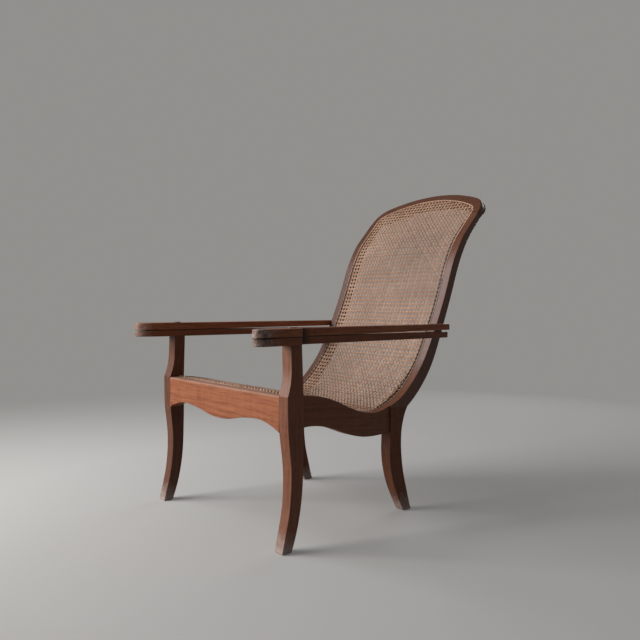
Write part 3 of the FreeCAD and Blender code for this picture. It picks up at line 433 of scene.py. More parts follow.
def half_width(length, grow):
    """Half the width of the opening at a length along the line, made wider by grow.

    It narrows evenly with y along the seat and stays the same up the back. At the top it follows the round
    shoulder, a circle that touches the side and the arch, and then the arch itself, a larger circle.
    """
    y = np.interp(length, LENGTHS, LINE[:, 0]) - LINE_START[0]
    share = np.clip((y - SEAT_OPENING_START) / (SEAT_OPENING_END - SEAT_OPENING_START), None, 1)
    side = OPENING_HALF_FRONT + (OPENING_HALF_BACK - OPENING_HALF_FRONT) * share + grow
    up = length - BACK_TOP_LENGTH
    top = OPENING_TOP + grow
    arch = OPENING_ARCH_RADIUS + grow
    shoulder = OPENING_SHOULDER_RADIUS + grow
    centre = top - arch
    inner_side = OPENING_HALF_BACK + grow - shoulder
    shoulder_up = centre + math.sqrt((arch - shoulder) ** 2 - inner_side ** 2)
    turn = math.atan2(inner_side, shoulder_up - centre)
    knee = shoulder_up + shoulder * math.cos(turn)
    round_side = inner_side + np.sqrt(np.clip(shoulder ** 2 - (up - shoulder_up) ** 2, 0, None))
    arch_side = np.sqrt(np.clip(arch ** 2 - (up - centre) ** 2, 0, None))
    side = np.where(up > shoulder_up, np.where(up > knee, arch_side, round_side), side)
    return np.where(up > top, 0, side)


def inside(x, length, grow):
    """Whether places lie in the opening, made larger all round by grow and cut back at the front posts."""
    within = (np.abs(x) < half_width(length, grow)) & (length > FRONT_LENGTH - grow)
    at_post = (np.abs(x) > POST_INNER - POST_CLEARANCE) & (length < POST_LENGTH + POST_CLEARANCE)
    return within & ~at_post


# Strips of cane as meshes

def add_object(name, data):
    """An object of the scene made from this data."""
    made = bpy.data.objects.new(name, data)
    bpy.context.scene.collection.objects.link(made)
    return made


def mesh_object(name, material, vertices, faces, uv, values):
    """An object made from arrays of vertices and four-cornered faces, riding on the frame."""
    mesh = bpy.data.meshes.new(name)
    mesh.from_pydata(vertices.tolist(), [], faces.tolist())
    layer = mesh.uv_layers.new(name="along_and_across")
    layer.data.foreach_set("uv", uv[faces.reshape(-1)].astype(np.float32).reshape(-1))
    for key, value in values.items():
        attribute = mesh.attributes.new(key, "FLOAT", "POINT")
        attribute.data.foreach_set("value", value.astype(np.float32))
    mesh.polygons.foreach_set("use_smooth", np.full(len(faces), True))
    mesh.materials.append(material)
    mesh.update()
    made = add_object(name, mesh)
    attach(made, "frame")
    return made


def tube_faces(rings, sides, start):
    """The faces of one strip of rings of four points.

    Each side of a ring joins the same side of the next ring, and one face closes each end.
    """
    ring = np.arange(rings - 1)[:, None] * sides
    side = np.arange(sides)[None, :]
    after = (side + 1) % sides
    walls = np.stack([ring + side, ring + after, ring + sides + after, ring + sides + side], axis=-1)
    first = np.array([[3, 2, 1, 0]])
    last = np.array([[0, 1, 2, 3]]) + (rings - 1) * sides
    return np.concatenate([walls.reshape(-1, 4), first, last]) + start


def strips(paths, width, thickness, chance):
    """Many split strands as one set of arrays: the section, made to size, moved along each path.

    Each path holds its centre points, the direction across the strip, the direction out of it, and the dirt
    and painted shade on it. Each strip has a tone of its own.
    """
    vertices = []
    faces = []
    uvs = []
    tones = []
    dirt_and_shade_values = []
    start = 0
    for centres, across, out, dirt_and_shade in paths:
        tone = chance.uniform(0, 1)
        ring = np.stack([centres + across * width * a + out * thickness * b for a, b in SECTION], axis=1)
        count = len(centres)
        along = walked(centres)
        shifted = along[:, None] + tone * FIBRE_SHIFT
        uv = np.stack(np.broadcast_arrays(shifted, np.array(SECTION)[:, 0] + 0.5), axis=-1)
        vertices.append(ring.reshape(-1, 3))
        uvs.append(uv.reshape(-1, 2))
        tones.append(np.full(count * len(SECTION), tone))
        dirt_and_shade_values.append(np.repeat(np.broadcast_to(dirt_and_shade, count), len(SECTION)))
        faces.append(tube_faces(count, len(SECTION), start))
        start += count * len(SECTION)
    values = {"tone": np.concatenate(tones), "dirt_and_shade": np.concatenate(dirt_and_shade_values)}
    return np.concatenate(vertices), np.concatenate(faces), np.concatenate(uvs), values


def strip_path(x, length, rise):
    """Centre points of a strip at places on the sling, with its directions across and out of the sling.

    The way out is the one in which points move as their rise grows. The way across is square to it and to the
    path.
    """
    centres = on_line(x, length, rise)
    out = (on_line(x, length, rise + SMALL_RISE) - centres) / SMALL_RISE
    across = np.cross(np.gradient(centres, axis=0), out)
    across /= np.linalg.norm(across, axis=1)[:, None]
    return centres, across, out


# The woven sling

def dirt_and_shade_at(x, length):
    """How much dirt and painted shade lies on the cane at a place.

    Painted shade falls evenly to nothing within a short way of the frame's sides, and each stain is a bell
    curve round its place. The larger of them counts.
    """
    from_side = half_width(length, 0) - np.abs(x)
    edge = np.clip(1 - from_side / SHADE_REACH, 0, 1) * np.where(x > 0, SHADE_LEFT, SHADE_RIGHT)
    dirt_and_shade = np.where(length < BACK_TOP_LENGTH, edge, 0)
    for stain_x, stain_length, reach_x, reach_length, amount in STAINS:
        away = ((x - stain_x) / reach_x) ** 2 + ((length - stain_length) / reach_length) ** 2
        dirt_and_shade = np.maximum(dirt_and_shade, amount * np.exp(-away))
    return dirt_and_shade


def strand_path(x, length, rise):
    """A strand of the weave as a strip path with its dirt and painted shade, the shade more the lower the
    strand lies.
    """
    centres, across, out = strip_path(x, length, rise - WEAVE_DEPTH)
    low = np.clip(-rise / DIAGONAL_RISE, 0, 1) * SHADE_BELOW
    return centres, across, out, np.clip(dirt_and_shade_at(x, length) + low, 0, 1)


def straight_strands(upright, columns, rows):
    """Uprights or crossers as places on the sling: pairs a pitch apart, of which each strand has one point at
    every strand that it crosses, and passes over and under them in turn."""
    crossings = np.arange(rows) if upright else np.arange(-columns, columns + 1)
    along = (crossings[:, None] * PITCH + np.array([-PAIR_OFFSET, PAIR_OFFSET])).reshape(-1)
    weave = np.tile([1.0, -1.0], len(crossings)) * (PAIR_RISE if upright else -PAIR_RISE)
    strands = []
    for index in range(-columns, columns + 1) if upright else range(rows):
        for side in (-1, 1):
            fixed = np.full(len(along), index * PITCH + side * PAIR_OFFSET)
            strands.append((fixed, along, -side * weave) if upright else (along, fixed, -side * weave))
    return strands


def diagonal_strands(lean, columns, rows):
    """Diagonals as places on the sling: each runs half a pitch beside the crossings.

    It lies over the pairs of one direction and under those of the other, with a knee on each side of a pair.
    """
    steps = np.arange(2 * rows)
    length = ((steps[:, None] / 2 + np.array([-DIAGONAL_KNEE, DIAGONAL_KNEE])) * PITCH).reshape(-1)
    rise = np.repeat(np.where(steps % 2 == 1, lean, -lean), 2) * DIAGONAL_RISE
    starts = [(index + 0.5) * PITCH for index in range(-columns, rows + columns)]
    return [(lean * (start - length), length, rise) for start in starts]


def woven_strands(kind, chance):
    """The strands of one direction of the weave, spread to the uprights' spacing and cut off at the frame.

    A strand wanders a little from its line: by a sine wave along it, with a height and a start of its own.
    """
    columns = int(OPENING_HALF_FRONT / PITCH) + SPARE_STRANDS
    pitch_across = (OPENING_HALF_BACK - UPRIGHT_MARGIN) * 2 / (UPRIGHT_PAIRS - 1)
    rows = int((BACK_TOP_LENGTH + OPENING_TOP) / PITCH) + SPARE_STRANDS
    if kind in ("upright", "crosser"):
        strands = straight_strands(kind == "upright", columns, rows)
    else:
        strands = diagonal_strands(1 if kind == "diagonal_left" else -1, columns, rows)
    kept = []
    for x, length, rise in strands:
        x = (x / PITCH + 0.5) * pitch_across
        height = chance.normal(0, WANDER)
        start = chance.uniform(0, 2 * math.pi)
        wander = height * np.sin((x + length) / WANDER_LENGTH * 2 * math.pi + start)
        within = inside(x, length, STRAND_END)
        if kind == "upright":
            within &= np.abs(x) < half_width(length, STRAND_END) - STRAND_END - UPRIGHT_CLEARANCE
        if within.sum() >= FEWEST_POINTS:
            if kind == "crosser":
                length = length + wander
            else:
                x = x + wander
            kept.append(strand_path(x[within], length[within], rise[within]))
    return kept


def make_weave(material):
    """The four layers of the woven sling, each an object of flat strands, in the place of the plain grid."""
    chance = np.random.default_rng(WEAVE_SEED)
    widths = {"upright": STRAND_WIDTH, "crosser": STRAND_WIDTH, "diagonal_left": DIAGONAL_WIDTH,
              "diagonal_right": DIAGONAL_WIDTH}
    for kind, width in widths.items():
        paths = woven_strands(kind, chance)
        made = strips(paths, width, STRAND_THICKNESS, chance)
        strand = mesh_object("cane_" + kind + "_strands", material, *made)
        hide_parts("cane_panel")


def bunched_strand(index, chance):
    """One strand along the frayed edge, painted black as the shade in the gap there.

    It leaves the edge inwards by the root of half a sine wave from its start to its end, with a small sine
    wave added. The first strands run all along the edge, and the torn ones after them end lower.
    """
    torn = index >= BUNCHED_STRANDS
    start = FRAY_START + chance.uniform(0, FRAY_START_SPREAD)
    end = (TORN_END if torn else FRAY_END) - chance.uniform(0, FRAY_END_SPREAD)
    if torn:
        inwards = TORN_WIDTH * (index - BUNCHED_STRANDS) / TORN_STRANDS
    else:
        inwards = BUNCH_WIDTH * index / BUNCHED_STRANDS
    length = np.arange(start, end, BUNCH_STEP)
    wave_length = chance.uniform(*BUNCH_WAVE_LENGTHS)
    wave = np.sin(length / wave_length + chance.uniform(*BUNCH_WAVE_STARTS)) * BUNCH_WAVE
    swell = np.sin((length - start) / (end - start) * math.pi) ** 0.5
    x = half_width(length, 0) - inwards * swell + wave
    rise = np.full(len(length), TORN_RISE if torn else BUNCH_RISE) - WEAVE_DEPTH
    return (*strip_path(x, length, rise), 1.0)


def loose_end(long, chance):
    """One light strand that stands up from the frayed edge.

    It leaves the edge in a straight line and rises in a parabola. The long one stays close to the edge.
    """
    shares = np.linspace(0, 1, LOOSE_POINTS)
    stretch_start, stretch_end = LOOSE_STRETCH
    start = stretch_start + (LONG_END_START if long else chance.uniform(0, stretch_end - stretch_start))
    reach = LONG_END if long else chance.uniform(*LOOSE_LENGTH)
    turn = LONG_END_TURN if long else chance.uniform(*LOOSE_TURN)
    x = half_width(start, 0) - LOOSE_INSET - shares * reach * math.sin(turn)
    length = start + shares * reach * math.cos(turn)
    rise = LOOSE_FOOT + chance.uniform(*LOOSE_RISE) * 2 * shares * (1 - shares / 2)
    return (*strip_path(x, length, rise), 0.0)


def make_frayed_edge(material):
    """Broken cane at the left stile: strips along bunched strands, and along ends that stand up from them."""
    chance = np.random.default_rng(WEAVE_SEED + 3)
    paths = [bunched_strand(index, chance) for index in range(BUNCHED_STRANDS + TORN_STRANDS)]
    paths += [loose_end(index == LOOSE_ENDS, chance) for index in range(LOOSE_ENDS + 1)]
    mesh_object("cane_frayed_edge", material, *strips(paths, TIE_WIDTH, TIE_THICKNESS, chance))


# The edge of the cane

def edge_runs():
    """Places over the holes round the edge, as x and length along the line, a pitch apart along each run.

    The runs are the left half of the front, its mirror image, the left side with its half of the top, and the
    mirror image of that.
    """
    top_length = BACK_TOP_LENGTH + OPENING_TOP + BINDING_PLACE
    length = np.arange(FRONT_LENGTH - BINDING_PLACE, top_length, EDGE_STEP)
    side = np.stack([half_width(length, BINDING_PLACE), length], axis=1)
    side = side[length > POST_LENGTH + EDGE_POST_GAP]
    top_x = np.arange(side[-1, 0], 0, -EDGE_STEP)
    top = np.stack([top_x, np.full(len(top_x), side[-1, 1])], axis=1)
    front_x = np.arange(0, POST_INNER - EDGE_POST_GAP, EDGE_STEP)
    front = np.stack([front_x, np.full(len(front_x), FRONT_LENGTH - BINDING_PLACE)], axis=1)
    runs = []
    for edge in (front, np.concatenate([side, top])):
        steps = walked(edge)
        at = np.arange(PITCH / 2, steps[-1], PITCH)
        run = np.stack([np.interp(at, steps, edge[:, 0]), np.interp(at, steps, edge[:, 1])], axis=1)
        runs.append(run)
        runs.append(run * np.array([-1, 1]))
    return runs


def make_ties(material):
    """Ties over the binding, one at each hole: strips that lie across it, each at a small slant of its own.

    A tie's rise falls with the fourth power of the share of the way from its middle to its end, and its ends
    sink into the binding.
    """
    chance = np.random.default_rng(WEAVE_SEED + 1)
    shares = np.linspace(-1, 1, TIE_POINTS)
    paths = []
    for number, run in enumerate(edge_runs()):
        top = FRONT_TIE_RISE if number < FRONT_RUNS else TIE_RISE
        arch = top - (top + TIE_SINK) * np.abs(shares) ** 4
        spread = FRONT_TIE_SPREAD if number < FRONT_RUNS else 1.0
        way = np.gradient(run, axis=0)
        way /= np.linalg.norm(way, axis=1)[:, None]
        for (x, length), (way_x, way_length) in zip(run, way):
            slant = chance.uniform(-TIE_SLANT, TIE_SLANT)
            cross_x = -way_length - slant * way_x
            cross_length = way_x - slant * way_length
            tie_x = x + shares * TIE_REACH * cross_x
            tie_length = length + shares * TIE_REACH * cross_length
            centres, across, out = strip_path(tie_x, tie_length, arch)
            paths.append((centres, across * spread, out, 0.0))
    mesh_object("cane_ties", material, *strips(paths, TIE_WIDTH, TIE_THICKNESS, chance))


def surface_of(node):
    """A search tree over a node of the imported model, to lay things on its surface."""
    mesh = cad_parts[node].data
    vertices = [vertex.co.copy() for vertex in mesh.vertices]
    return BVHTree.FromPolygons(vertices, [tuple(polygon.vertices) for polygon in mesh.polygons])


def hole_behind(x, length, front, surfaces):
    """Where the hole at a place of the edge comes out on the frame, and the way the surface looks there.

    It is the first point that a straight line meets: forwards to the back of the front rail, outwards to the
    inner face of a side rail, or from behind to the back of a stile or the crest.
    """
    hand = "left" if x > 0 else "right"
    point = Vector(on_line(x, length, 0.0))
    back = (Vector(on_line(x, length, -SMALL_RISE)) - point) / SMALL_RISE
    if front:
        surface = surfaces["front_rail"]
        start = point + Vector((0, RAIL_SEARCH, -RAIL_HOLE_DEPTH))
        way = Vector((0, -1, 0))
    elif length < SEAT_END_LENGTH:
        surface = surfaces["side_rail_" + hand]
        way = Vector((1 if x > 0 else -1, 0, 0))
        start = point + back * RAIL_HOLE_DEPTH - way * RAIL_SEARCH
    else:
        surface = surfaces["stile_" + hand if length < BACK_TOP_LENGTH + CREST_FOOT else "crest_rail"]
        start = point + back * BACK_SEARCH
        way = -back
    place, normal, _, _ = surface.ray_cast(start, way)
    return place, normal


def make_bridges(material):
    """The strands from hole to hole behind the frame: short strips on its back and inner faces.

    A strip runs straight between two holes, a little proud of the surface, and dips into it towards both ends
    with the sixth power of the share of the way from its middle.
    """
    names = ("front_rail", "side_rail_left", "side_rail_right", "stile_left", "stile_right", "crest_rail")
    surfaces = {name: surface_of(name) for name in names}
    shares = np.linspace(0, 1, BRIDGE_POINTS)
    height = BRIDGE_RISE - BRIDGE_DIP * np.abs(2 * shares - 1) ** 6
    paths = []
    for number, run in enumerate(edge_runs()):
        holes = [hole_behind(x, length, number < FRONT_RUNS, surfaces) for x, length in run]
        for (first, first_normal), (last, last_normal) in zip(holes[:-1], holes[1:]):
            if first is None or last is None or (last - first).length > LONGEST_BRIDGE:
                continue
            along = np.array(last - first)
            out = np.array((first_normal + last_normal).normalized())
            centres = np.array(first) + np.outer(shares, along) + np.outer(height, out)
            across = np.cross(along, out)
            across /= np.linalg.norm(across)
            ways = [np.tile(way, (BRIDGE_POINTS, 1)) for way in (across, out)]
            paths.append((centres, *ways, 0.0))
    chance = np.random.default_rng(WEAVE_SEED + 2)
    mesh_object("cane_bridges", material, *strips(paths, BRIDGE_WIDTH, TIE_THICKNESS, chance))


# Materials

class Nodes:
    """A short way to write a material's nodes: each call makes one node and links what it is given."""

    def __init__(self, name):
        self.material = bpy.data.materials.new(name)
        self.material.use_nodes = True
        self.tree = self.material.node_tree
        self.tree.nodes.clear()

    def link(self, value, socket):
        """Links another node's output to a socket, or sets the socket to a plain value."""
        if hasattr(value, "is_output"):
            self.tree.links.new(value, socket)
        else:
            socket.default_value = value

    def add(self, kind, inputs=None, output=0, **settings):
        """A node with its settings and inputs, as the one of its outputs that is asked for."""
        node = self.tree.nodes.new("ShaderNode" + kind)
        for key, value in settings.items():
            setattr(node, key, value)
        for key, value in (inputs or {}).items():
            self.link(value, node.inputs[key])
        return node.outputs[output]

    def math(self, operation, first, second=0.0):
        """An operation on one or two numbers."""
        return self.add("Math", {0: first, 1: second}, operation=operation)

    def times(self, first, second):
        """The product of two numbers."""
        return self.math("MULTIPLY", first, second)

    def dot(self, first, second):
        """The dot product of two vectors, which is 1 where two directions are alike."""
        return self.add("VectorMath", {0: first, 1: second}, output="Value", operation="DOT_PRODUCT")

    def parts(self, vector):
        """The three numbers of a vector."""
        node = self.tree.nodes.new("ShaderNodeSeparateXYZ")
        self.link(vector, node.inputs[0])
        return node.outputs

    def noise(self, vector, scale, detail, roughness):
        """Soft noise between 0 and 1."""
        return self.add("TexNoise", {"Vector": vector, "Scale": scale, "Detail": detail,
                                     "Roughness": roughness})

    def ramp(self, share, stops):
        """A blend through (position, colour) stops."""
        node = self.tree.nodes.new("ShaderNodeValToRGB")
        elements = node.color_ramp.elements
        while len(elements) < len(stops):
            elements.new(0.5)
        for element, (position, colour) in zip(elements, stops):
            element.position = position
            element.color = (*colour, 1)
        self.link(share, node.inputs[0])
        return node.outputs[0]

    def range(self, value, low, high, new_low=0.0, new_high=1.0):
        """A value between low and high turned evenly into one between two new ends, and kept within them."""
        return self.add("MapRange", {"Value": value, "From Min": low, "From Max": high, "To Min": new_low,
                                     "To Max": new_high})

    def mix(self, share, first, second, blend="MIX"):
        """A share of the second colour laid over the first."""
        node = self.tree.nodes.new("ShaderNodeMix")
        node.data_type = "RGBA"
        node.blend_type = blend
        self.link(share, node.inputs[0])
        self.link(first, node.inputs[6])
        self.link(second, node.inputs[7])
        return node.outputs[2]

    def finish(self, colour, roughness, shine, height, relief):
        """The finished material. Its height tilts the surface by the strength and distance of relief."""
        strength, distance = relief
        bump = self.add("Bump", {"Height": height, "Strength": strength, "Distance": distance})
        shader = self.add("BsdfPrincipled", {"Base Color": colour, "Roughness": roughness, "Normal": bump,
                                             "Specular IOR Level": shine})
        output = self.tree.nodes.new("ShaderNodeOutputMaterial")
        self.tree.links.new(shader, output.inputs["Surface"])
        return self.material


def board_figure(nodes, place, grain, heart):
    """The figure of a board as numbers from dark to light, with its streaks, its fibres and its pores.

    Places are measured from the heart, along the grain and in two directions across it, and are drawn out
    along the grain. The figure is the sum of growth rings, streaks, fibres, a ripple across the grain and a
    mottle, each times its share.
    """
    along = Vector(grain).normalized()
    across = along.orthogonal().normalized()
    from_heart = nodes.add("VectorMath", {0: place, 1: heart}, operation="SUBTRACT")
    run, wide, deep = [nodes.dot(from_heart, tuple(axis)) for axis in (along, across, along.cross(across))]
    drawn = nodes.add("CombineXYZ", {0: nodes.times(run, GRAIN_DRAWN), 1: wide, 2: deep})
    shift = nodes.times(nodes.noise(drawn, *RING_WARP), RING_SHIFT)
    ring_place = nodes.add("CombineXYZ", {0: nodes.times(run, RINGS_DRAWN), 1: wide,
                                          2: nodes.math("ADD", deep, shift)})
    rings = nodes.add("TexWave", {"Vector": ring_place, **RINGS}, output="Fac", wave_type="RINGS",
                      rings_direction="X", wave_profile="SIN")
    ripple_place = nodes.add("CombineXYZ", {0: run, 1: nodes.times(wide, RIPPLE_DRAWN),
                                            2: nodes.times(deep, RIPPLE_DRAWN)})
    streaks = nodes.noise(drawn, *STREAKS)
    fibres = nodes.noise(drawn, *FIBRES)
    ripple = nodes.noise(ripple_place, *RIPPLE)
    mottle = nodes.noise(drawn, *MOTTLE)
    layers = [(streaks, STREAK_SHARE), (fibres, FIBRE_SHARE), (ripple, RIPPLE_SHARE), (mottle, MOTTLE_SHARE)]
    figure = nodes.times(rings, RING_SHARE)
    for layer, share in layers:
        figure = nodes.math("ADD", figure, nodes.times(layer, share))
    pores = nodes.range(nodes.noise(drawn, *PORES), *PORE_RANGE)
    return figure, streaks, fibres, pores


def dark_edge_share(nodes, axes, edge_x, edge_per_y):
    """How much painted shade lies on the wood round the cane, the shade of the rebate: full inside a line
    whose x changes evenly with y.
    """
    aside = nodes.math("ABSOLUTE", axes[0])
    beyond = nodes.math("SUBTRACT", aside, nodes.times(axes[1], edge_per_y))
    fade_start, fade_end = REBATE_SHADE_FADE
    return nodes.range(beyond, edge_x + fade_start, edge_x + fade_end, 0.0, REBATE_SHADE_AMOUNT)


def handled_share(nodes, axes, ragged, tip_end, amount):
    """How much a board's tip is handled: full in front of a y, and fading raggedly behind it."""
    y = nodes.math("ADD", axes[1], nodes.times(ragged, TIP_RAGGED))
    fade_start, fade_end = TIP_FADE
    return nodes.range(y, tip_end + fade_start, tip_end + fade_end, 0.0, amount)


def painted_shade_share(nodes, axes, seam, depth, band):
    """How much painted shade lies on a board: on its upright faces beside the height of the seam, as the
    shade of the gap between the boards.

    Where a band is given, its start, middle and end in y, painted shade also lies there on the face that
    looks to the left, as the shade of the cove. It rises fast at the start and falls evenly from the middle
    to the end.
    """
    facing = nodes.parts(nodes.add("TexCoord", output="Normal"))
    upright = nodes.range(nodes.math("ABSOLUTE", facing[2]), *UPRIGHT_FACE_RANGE)
    beside = nodes.range(axes[2], seam + depth, seam + SEAM_SHADE_FULL_SHARE * depth, 0.0, SEAM_SHADE_AMOUNT)
    painted_shade = nodes.times(beside, upright)
    if band is not None:
        start, middle, end = band
        rising = nodes.range(axes[1], start - COVE_SHADE_BAND_FADE, start)
        falling = nodes.range(axes[1], end, middle, 0.0, COVE_SHADE_BAND_AMOUNT)
        outer = nodes.range(facing[0], *OUTER_FACE_RANGE)
        in_band = nodes.times(nodes.times(rising, falling), outer)
        painted_shade = nodes.math("MAXIMUM", painted_shade, in_band)
    return painted_shade


def hardwood(name, grain, heart, finish, shaded_side, worn_tip=None, worn_top=None, scuffed=False,
             dark_edge=None, grimy_seam=None, grimy_band=None):
    """Oiled hardwood with its grain along a direction, and its growth rings round a line through heart.

    The board's figure is faded in patches, dark in its pores and lighter where an edge is rubbed, and is then
    made lighter or darker as a whole. Faces towards shaded_side are painted nearly black as shade and don't
    shine, and the wood inside dark_edge is painted nearly as dark, as the shade of the rebate round the cane.
    It is handled grey in front of the y of worn_tip, rubbed pale with a painted highlight above the height
    worn_top, and grey near the floor on a scuffed foot. Painted shade lies beside grimy_seam, the
    gap between the boards, and in grimy_band, the cove.
    """
    lightness, shine, smooth, rough = finish
    nodes = Nodes(name)
    place = nodes.add("TexCoord", output="Object")
    axes = nodes.parts(place)
    figure, streaks, fibres, pores = board_figure(nodes, place, grain, heart)
    colour = nodes.ramp(figure, WOOD_STOPS)
    faded = nodes.range(nodes.noise(place, *PATCHES), *FADED_RANGE)
    colour = nodes.mix(faded, colour, nodes.mix(FADED_SHARE, colour, (*WOOD_LIGHT, 1)))
    colour = nodes.mix(nodes.times(pores, PORE_SHARE), colour, (*WOOD_DARK, 1))
    soft_normal = nodes.add("Bevel", {"Radius": EDGE_RADIUS}, samples=EDGE_SAMPLES)
    face_normal = nodes.add("NewGeometry", output="True Normal")
    edge = nodes.range(nodes.dot(soft_normal, face_normal), *EDGE_RANGE)
    ragged = nodes.noise(place, *RAGGED)
    rubbed = nodes.times(edge, nodes.range(ragged, *RUBBED_RANGE))
    colour = nodes.mix(rubbed, colour, (*WOOD_WORN_AND_HIGHLIT, 1))
    colour = nodes.mix(1.0, colour, (lightness, lightness, lightness, 1), "MULTIPLY")
    if shaded_side is not None:
        side_shade = nodes.range(nodes.dot(nodes.add("TexCoord", output="Normal"), shaded_side), *SIDE_SHADE_RANGE)
        colour = nodes.mix(side_shade, colour, (*WOOD_PAINTED_SHADE, 1))
        shine = nodes.times(nodes.math("SUBTRACT", 1.0, side_shade), shine)
    if dark_edge is not None:
        colour = nodes.mix(dark_edge_share(nodes, axes, *dark_edge), colour, (*WOOD_PAINTED_SHADE, 1))
    if worn_tip is not None:
        mottle = nodes.range(nodes.noise(place, *HANDLED_MOTTLE), *TIP_MOTTLE_RANGE)
        handled = nodes.mix(mottle, (*WOOD_HANDLED, 1), (*WOOD_GREY, 1))
        colour = nodes.mix(handled_share(nodes, axes, ragged, *worn_tip), colour, handled)
    if grimy_seam is not None:
        colour = nodes.mix(painted_shade_share(nodes, axes, *grimy_seam, grimy_band), colour, (*WOOD_PAINTED_SHADE, 1))
    if worn_top is not None:
        z = nodes.math("ADD", axes[2], nodes.times(ragged, WORN_AND_HIGHLIT_TOP_RAGGED))
        rubbed_and_highlit_top = nodes.range(z, worn_top, worn_top + WORN_AND_HIGHLIT_TOP_FADE, 0.0, WORN_AND_HIGHLIT_TOP_AMOUNT)
        colour = nodes.mix(rubbed_and_highlit_top, colour, (*WOOD_WORN_AND_HIGHLIT, 1))
    if scuffed:
        z = nodes.math("SUBTRACT", axes[2], nodes.times(ragged, SCUFF_RAGGED))
        colour = nodes.mix(nodes.range(z, *SCUFF_RANGE), colour, (*WOOD_GREY, 1))
    roughness = nodes.range(streaks, *ROUGH_RANGE, smooth, rough)
    height = nodes.math("SUBTRACT", fibres, nodes.times(pores, PORE_DEPTH))
    return nodes.finish(colour, roughness, shine, height, WOOD_RELIEF)


def cane_colour(nodes, tone, place):
    """The colour of cane: brown to straw with its tone, and stained in patches."""
    stained = nodes.range(nodes.noise(place, *STAIN_NOISE), *STAIN_RANGE)
    return nodes.mix(stained, nodes.ramp(tone, CANE_STOPS), (*CANE_STAINED, 1))


def strand_cane():
    """Split cane on the strands: a shiny rind with fibres along it and darker growth joints.

    Dirt and painted shade cover it by the share that each point of a strand holds, and take the shine away by
    the same share.
    """
    nodes = Nodes("cane_strand")
    uv = nodes.add("UVMap", uv_map="along_and_across")
    tone = nodes.add("Attribute", output="Fac", attribute_name="tone")
    dirt_and_shade = nodes.add("Attribute", output="Fac", attribute_name="dirt_and_shade")
    colour = cane_colour(nodes, tone, nodes.add("TexCoord", output="Object"))
    fibres = nodes.noise(nodes.add("Mapping", {"Vector": uv, "Scale": STRAND_DRAWN}), *STRAND_NOISE)
    colour = nodes.mix(nodes.range(fibres, *FIBRE_RANGE), colour, (*CANE_FIBRE, 1))
    joints = nodes.noise(nodes.add("Mapping", {"Vector": uv, "Scale": JOINT_DRAWN}), *JOINT_NOISE)
    colour = nodes.mix(nodes.range(joints, *JOINT_RANGE), colour, (*CANE_JOINT, 1))
    colour = nodes.mix(dirt_and_shade, colour, (*CANE_DIRT_AND_SHADE, 1))
    shine = nodes.times(nodes.math("SUBTRACT", 1.0, dirt_and_shade), CANE_SHINE)
    return nodes.finish(colour, CANE_ROUGHNESS, shine, fibres, CANE_RELIEF)


def plain_cane():
    """The same cane on the flat binding, with its tone from noise, and painted shade low down at both sides.
    """
    nodes = Nodes("cane_binding_strip")
    place = nodes.add("TexCoord", output="Object")
    tone = nodes.noise(place, *BINDING_NOISE)
    axes = nodes.parts(place)
    height = nodes.math("ADD", axes[2], nodes.times(tone, BINDING_RAGGED))
    low = nodes.range(height, *BINDING_SHADE_LOW_RANGE)
    at_side = nodes.range(nodes.math("ABSOLUTE", axes[0]), *BINDING_SHADE_SIDE_RANGE)
    colour = nodes.mix(nodes.times(low, at_side), cane_colour(nodes, tone, place), (*CANE_DIRT_AND_SHADE, 1))
    return nodes.finish(colour, BINDING_ROUGHNESS, BINDING_SHINE, tone, BINDING_RELIEF)


def paint_node(node, material):
    """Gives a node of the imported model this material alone."""
    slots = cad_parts[node].data.materials
    slots.clear()
    slots.append(material)


def paint_wood():
    """Gives each wooden node its own board: grain along the piece, and a heart at a place of its own."""
    chance = np.random.default_rng(WOOD_SEED)
    for node in sorted(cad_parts):
        kind = node.removesuffix("_left").removesuffix("_right")
        if kind not in GRAIN:
            continue
        low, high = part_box(node)
        middle = (Vector(low) + Vector(high)) / 2
        aside = chance.uniform(*HEART_OFFSET, 3) * chance.choice([-1, 1], 3)
        heart = tuple(middle + Vector(aside))
        wear_and_shade = {}
        if kind in ("arm", "leg_rest"):
            length, amount = WORN_TIP["left" if node.endswith("left") else "right"]
            wear_and_shade["worn_tip"] = (low[1] + length, amount)
            # Painted shade beside the seam between the boards, and in the cove band behind the left paddle
            wear_and_shade["grimy_seam"] = (low[2], SEAM_SHADE_DEPTH) if kind == "arm" else (high[2], -SEAM_SHADE_DEPTH)
            if node.endswith("left"):
                wear_and_shade["grimy_band"] = COVE_SHADE_BAND
        if kind == "front_rail":
            # The front rail's top is rubbed pale and given a painted highlight
            wear_and_shade["worn_top"] = high[2] - WORN_AND_HIGHLIT_TOP_DEPTH
        if kind in ("front_leg", "rear_leg"):
            wear_and_shade["scuffed"] = True
        # Painted shade in the rebate round the cane
        if kind in REBATE_SHADE:
            wear_and_shade["dark_edge"] = REBATE_SHADE[kind]
        finish = FINISH.get(node, FINISH.get(kind, PLAIN_FINISH))
        # Faces towards the shaded side get painted shade and lose their shine
        paint_node(node, hardwood("wood_" + node, GRAIN[kind], heart, finish, SHADED_SIDE.get(node), **wear_and_shade))


# Studio

def shown_ray(tree):
    """1 for a ray from the camera or one sent on by a shiny or clear surface, and 0 for the light's own."""
    path = tree.nodes.new("ShaderNodeLightPath")
    total = path.outputs["Is Camera Ray"]
    for name in ("Is Glossy Ray", "Is Transmission Ray"):
        larger = tree.nodes.new("ShaderNodeMath")
        larger.operation = "MAXIMUM"
        tree.links.new(total, larger.inputs[0])
        tree.links.new(path.outputs[name], larger.inputs[1])
        total = larger.outputs[0]
    return total


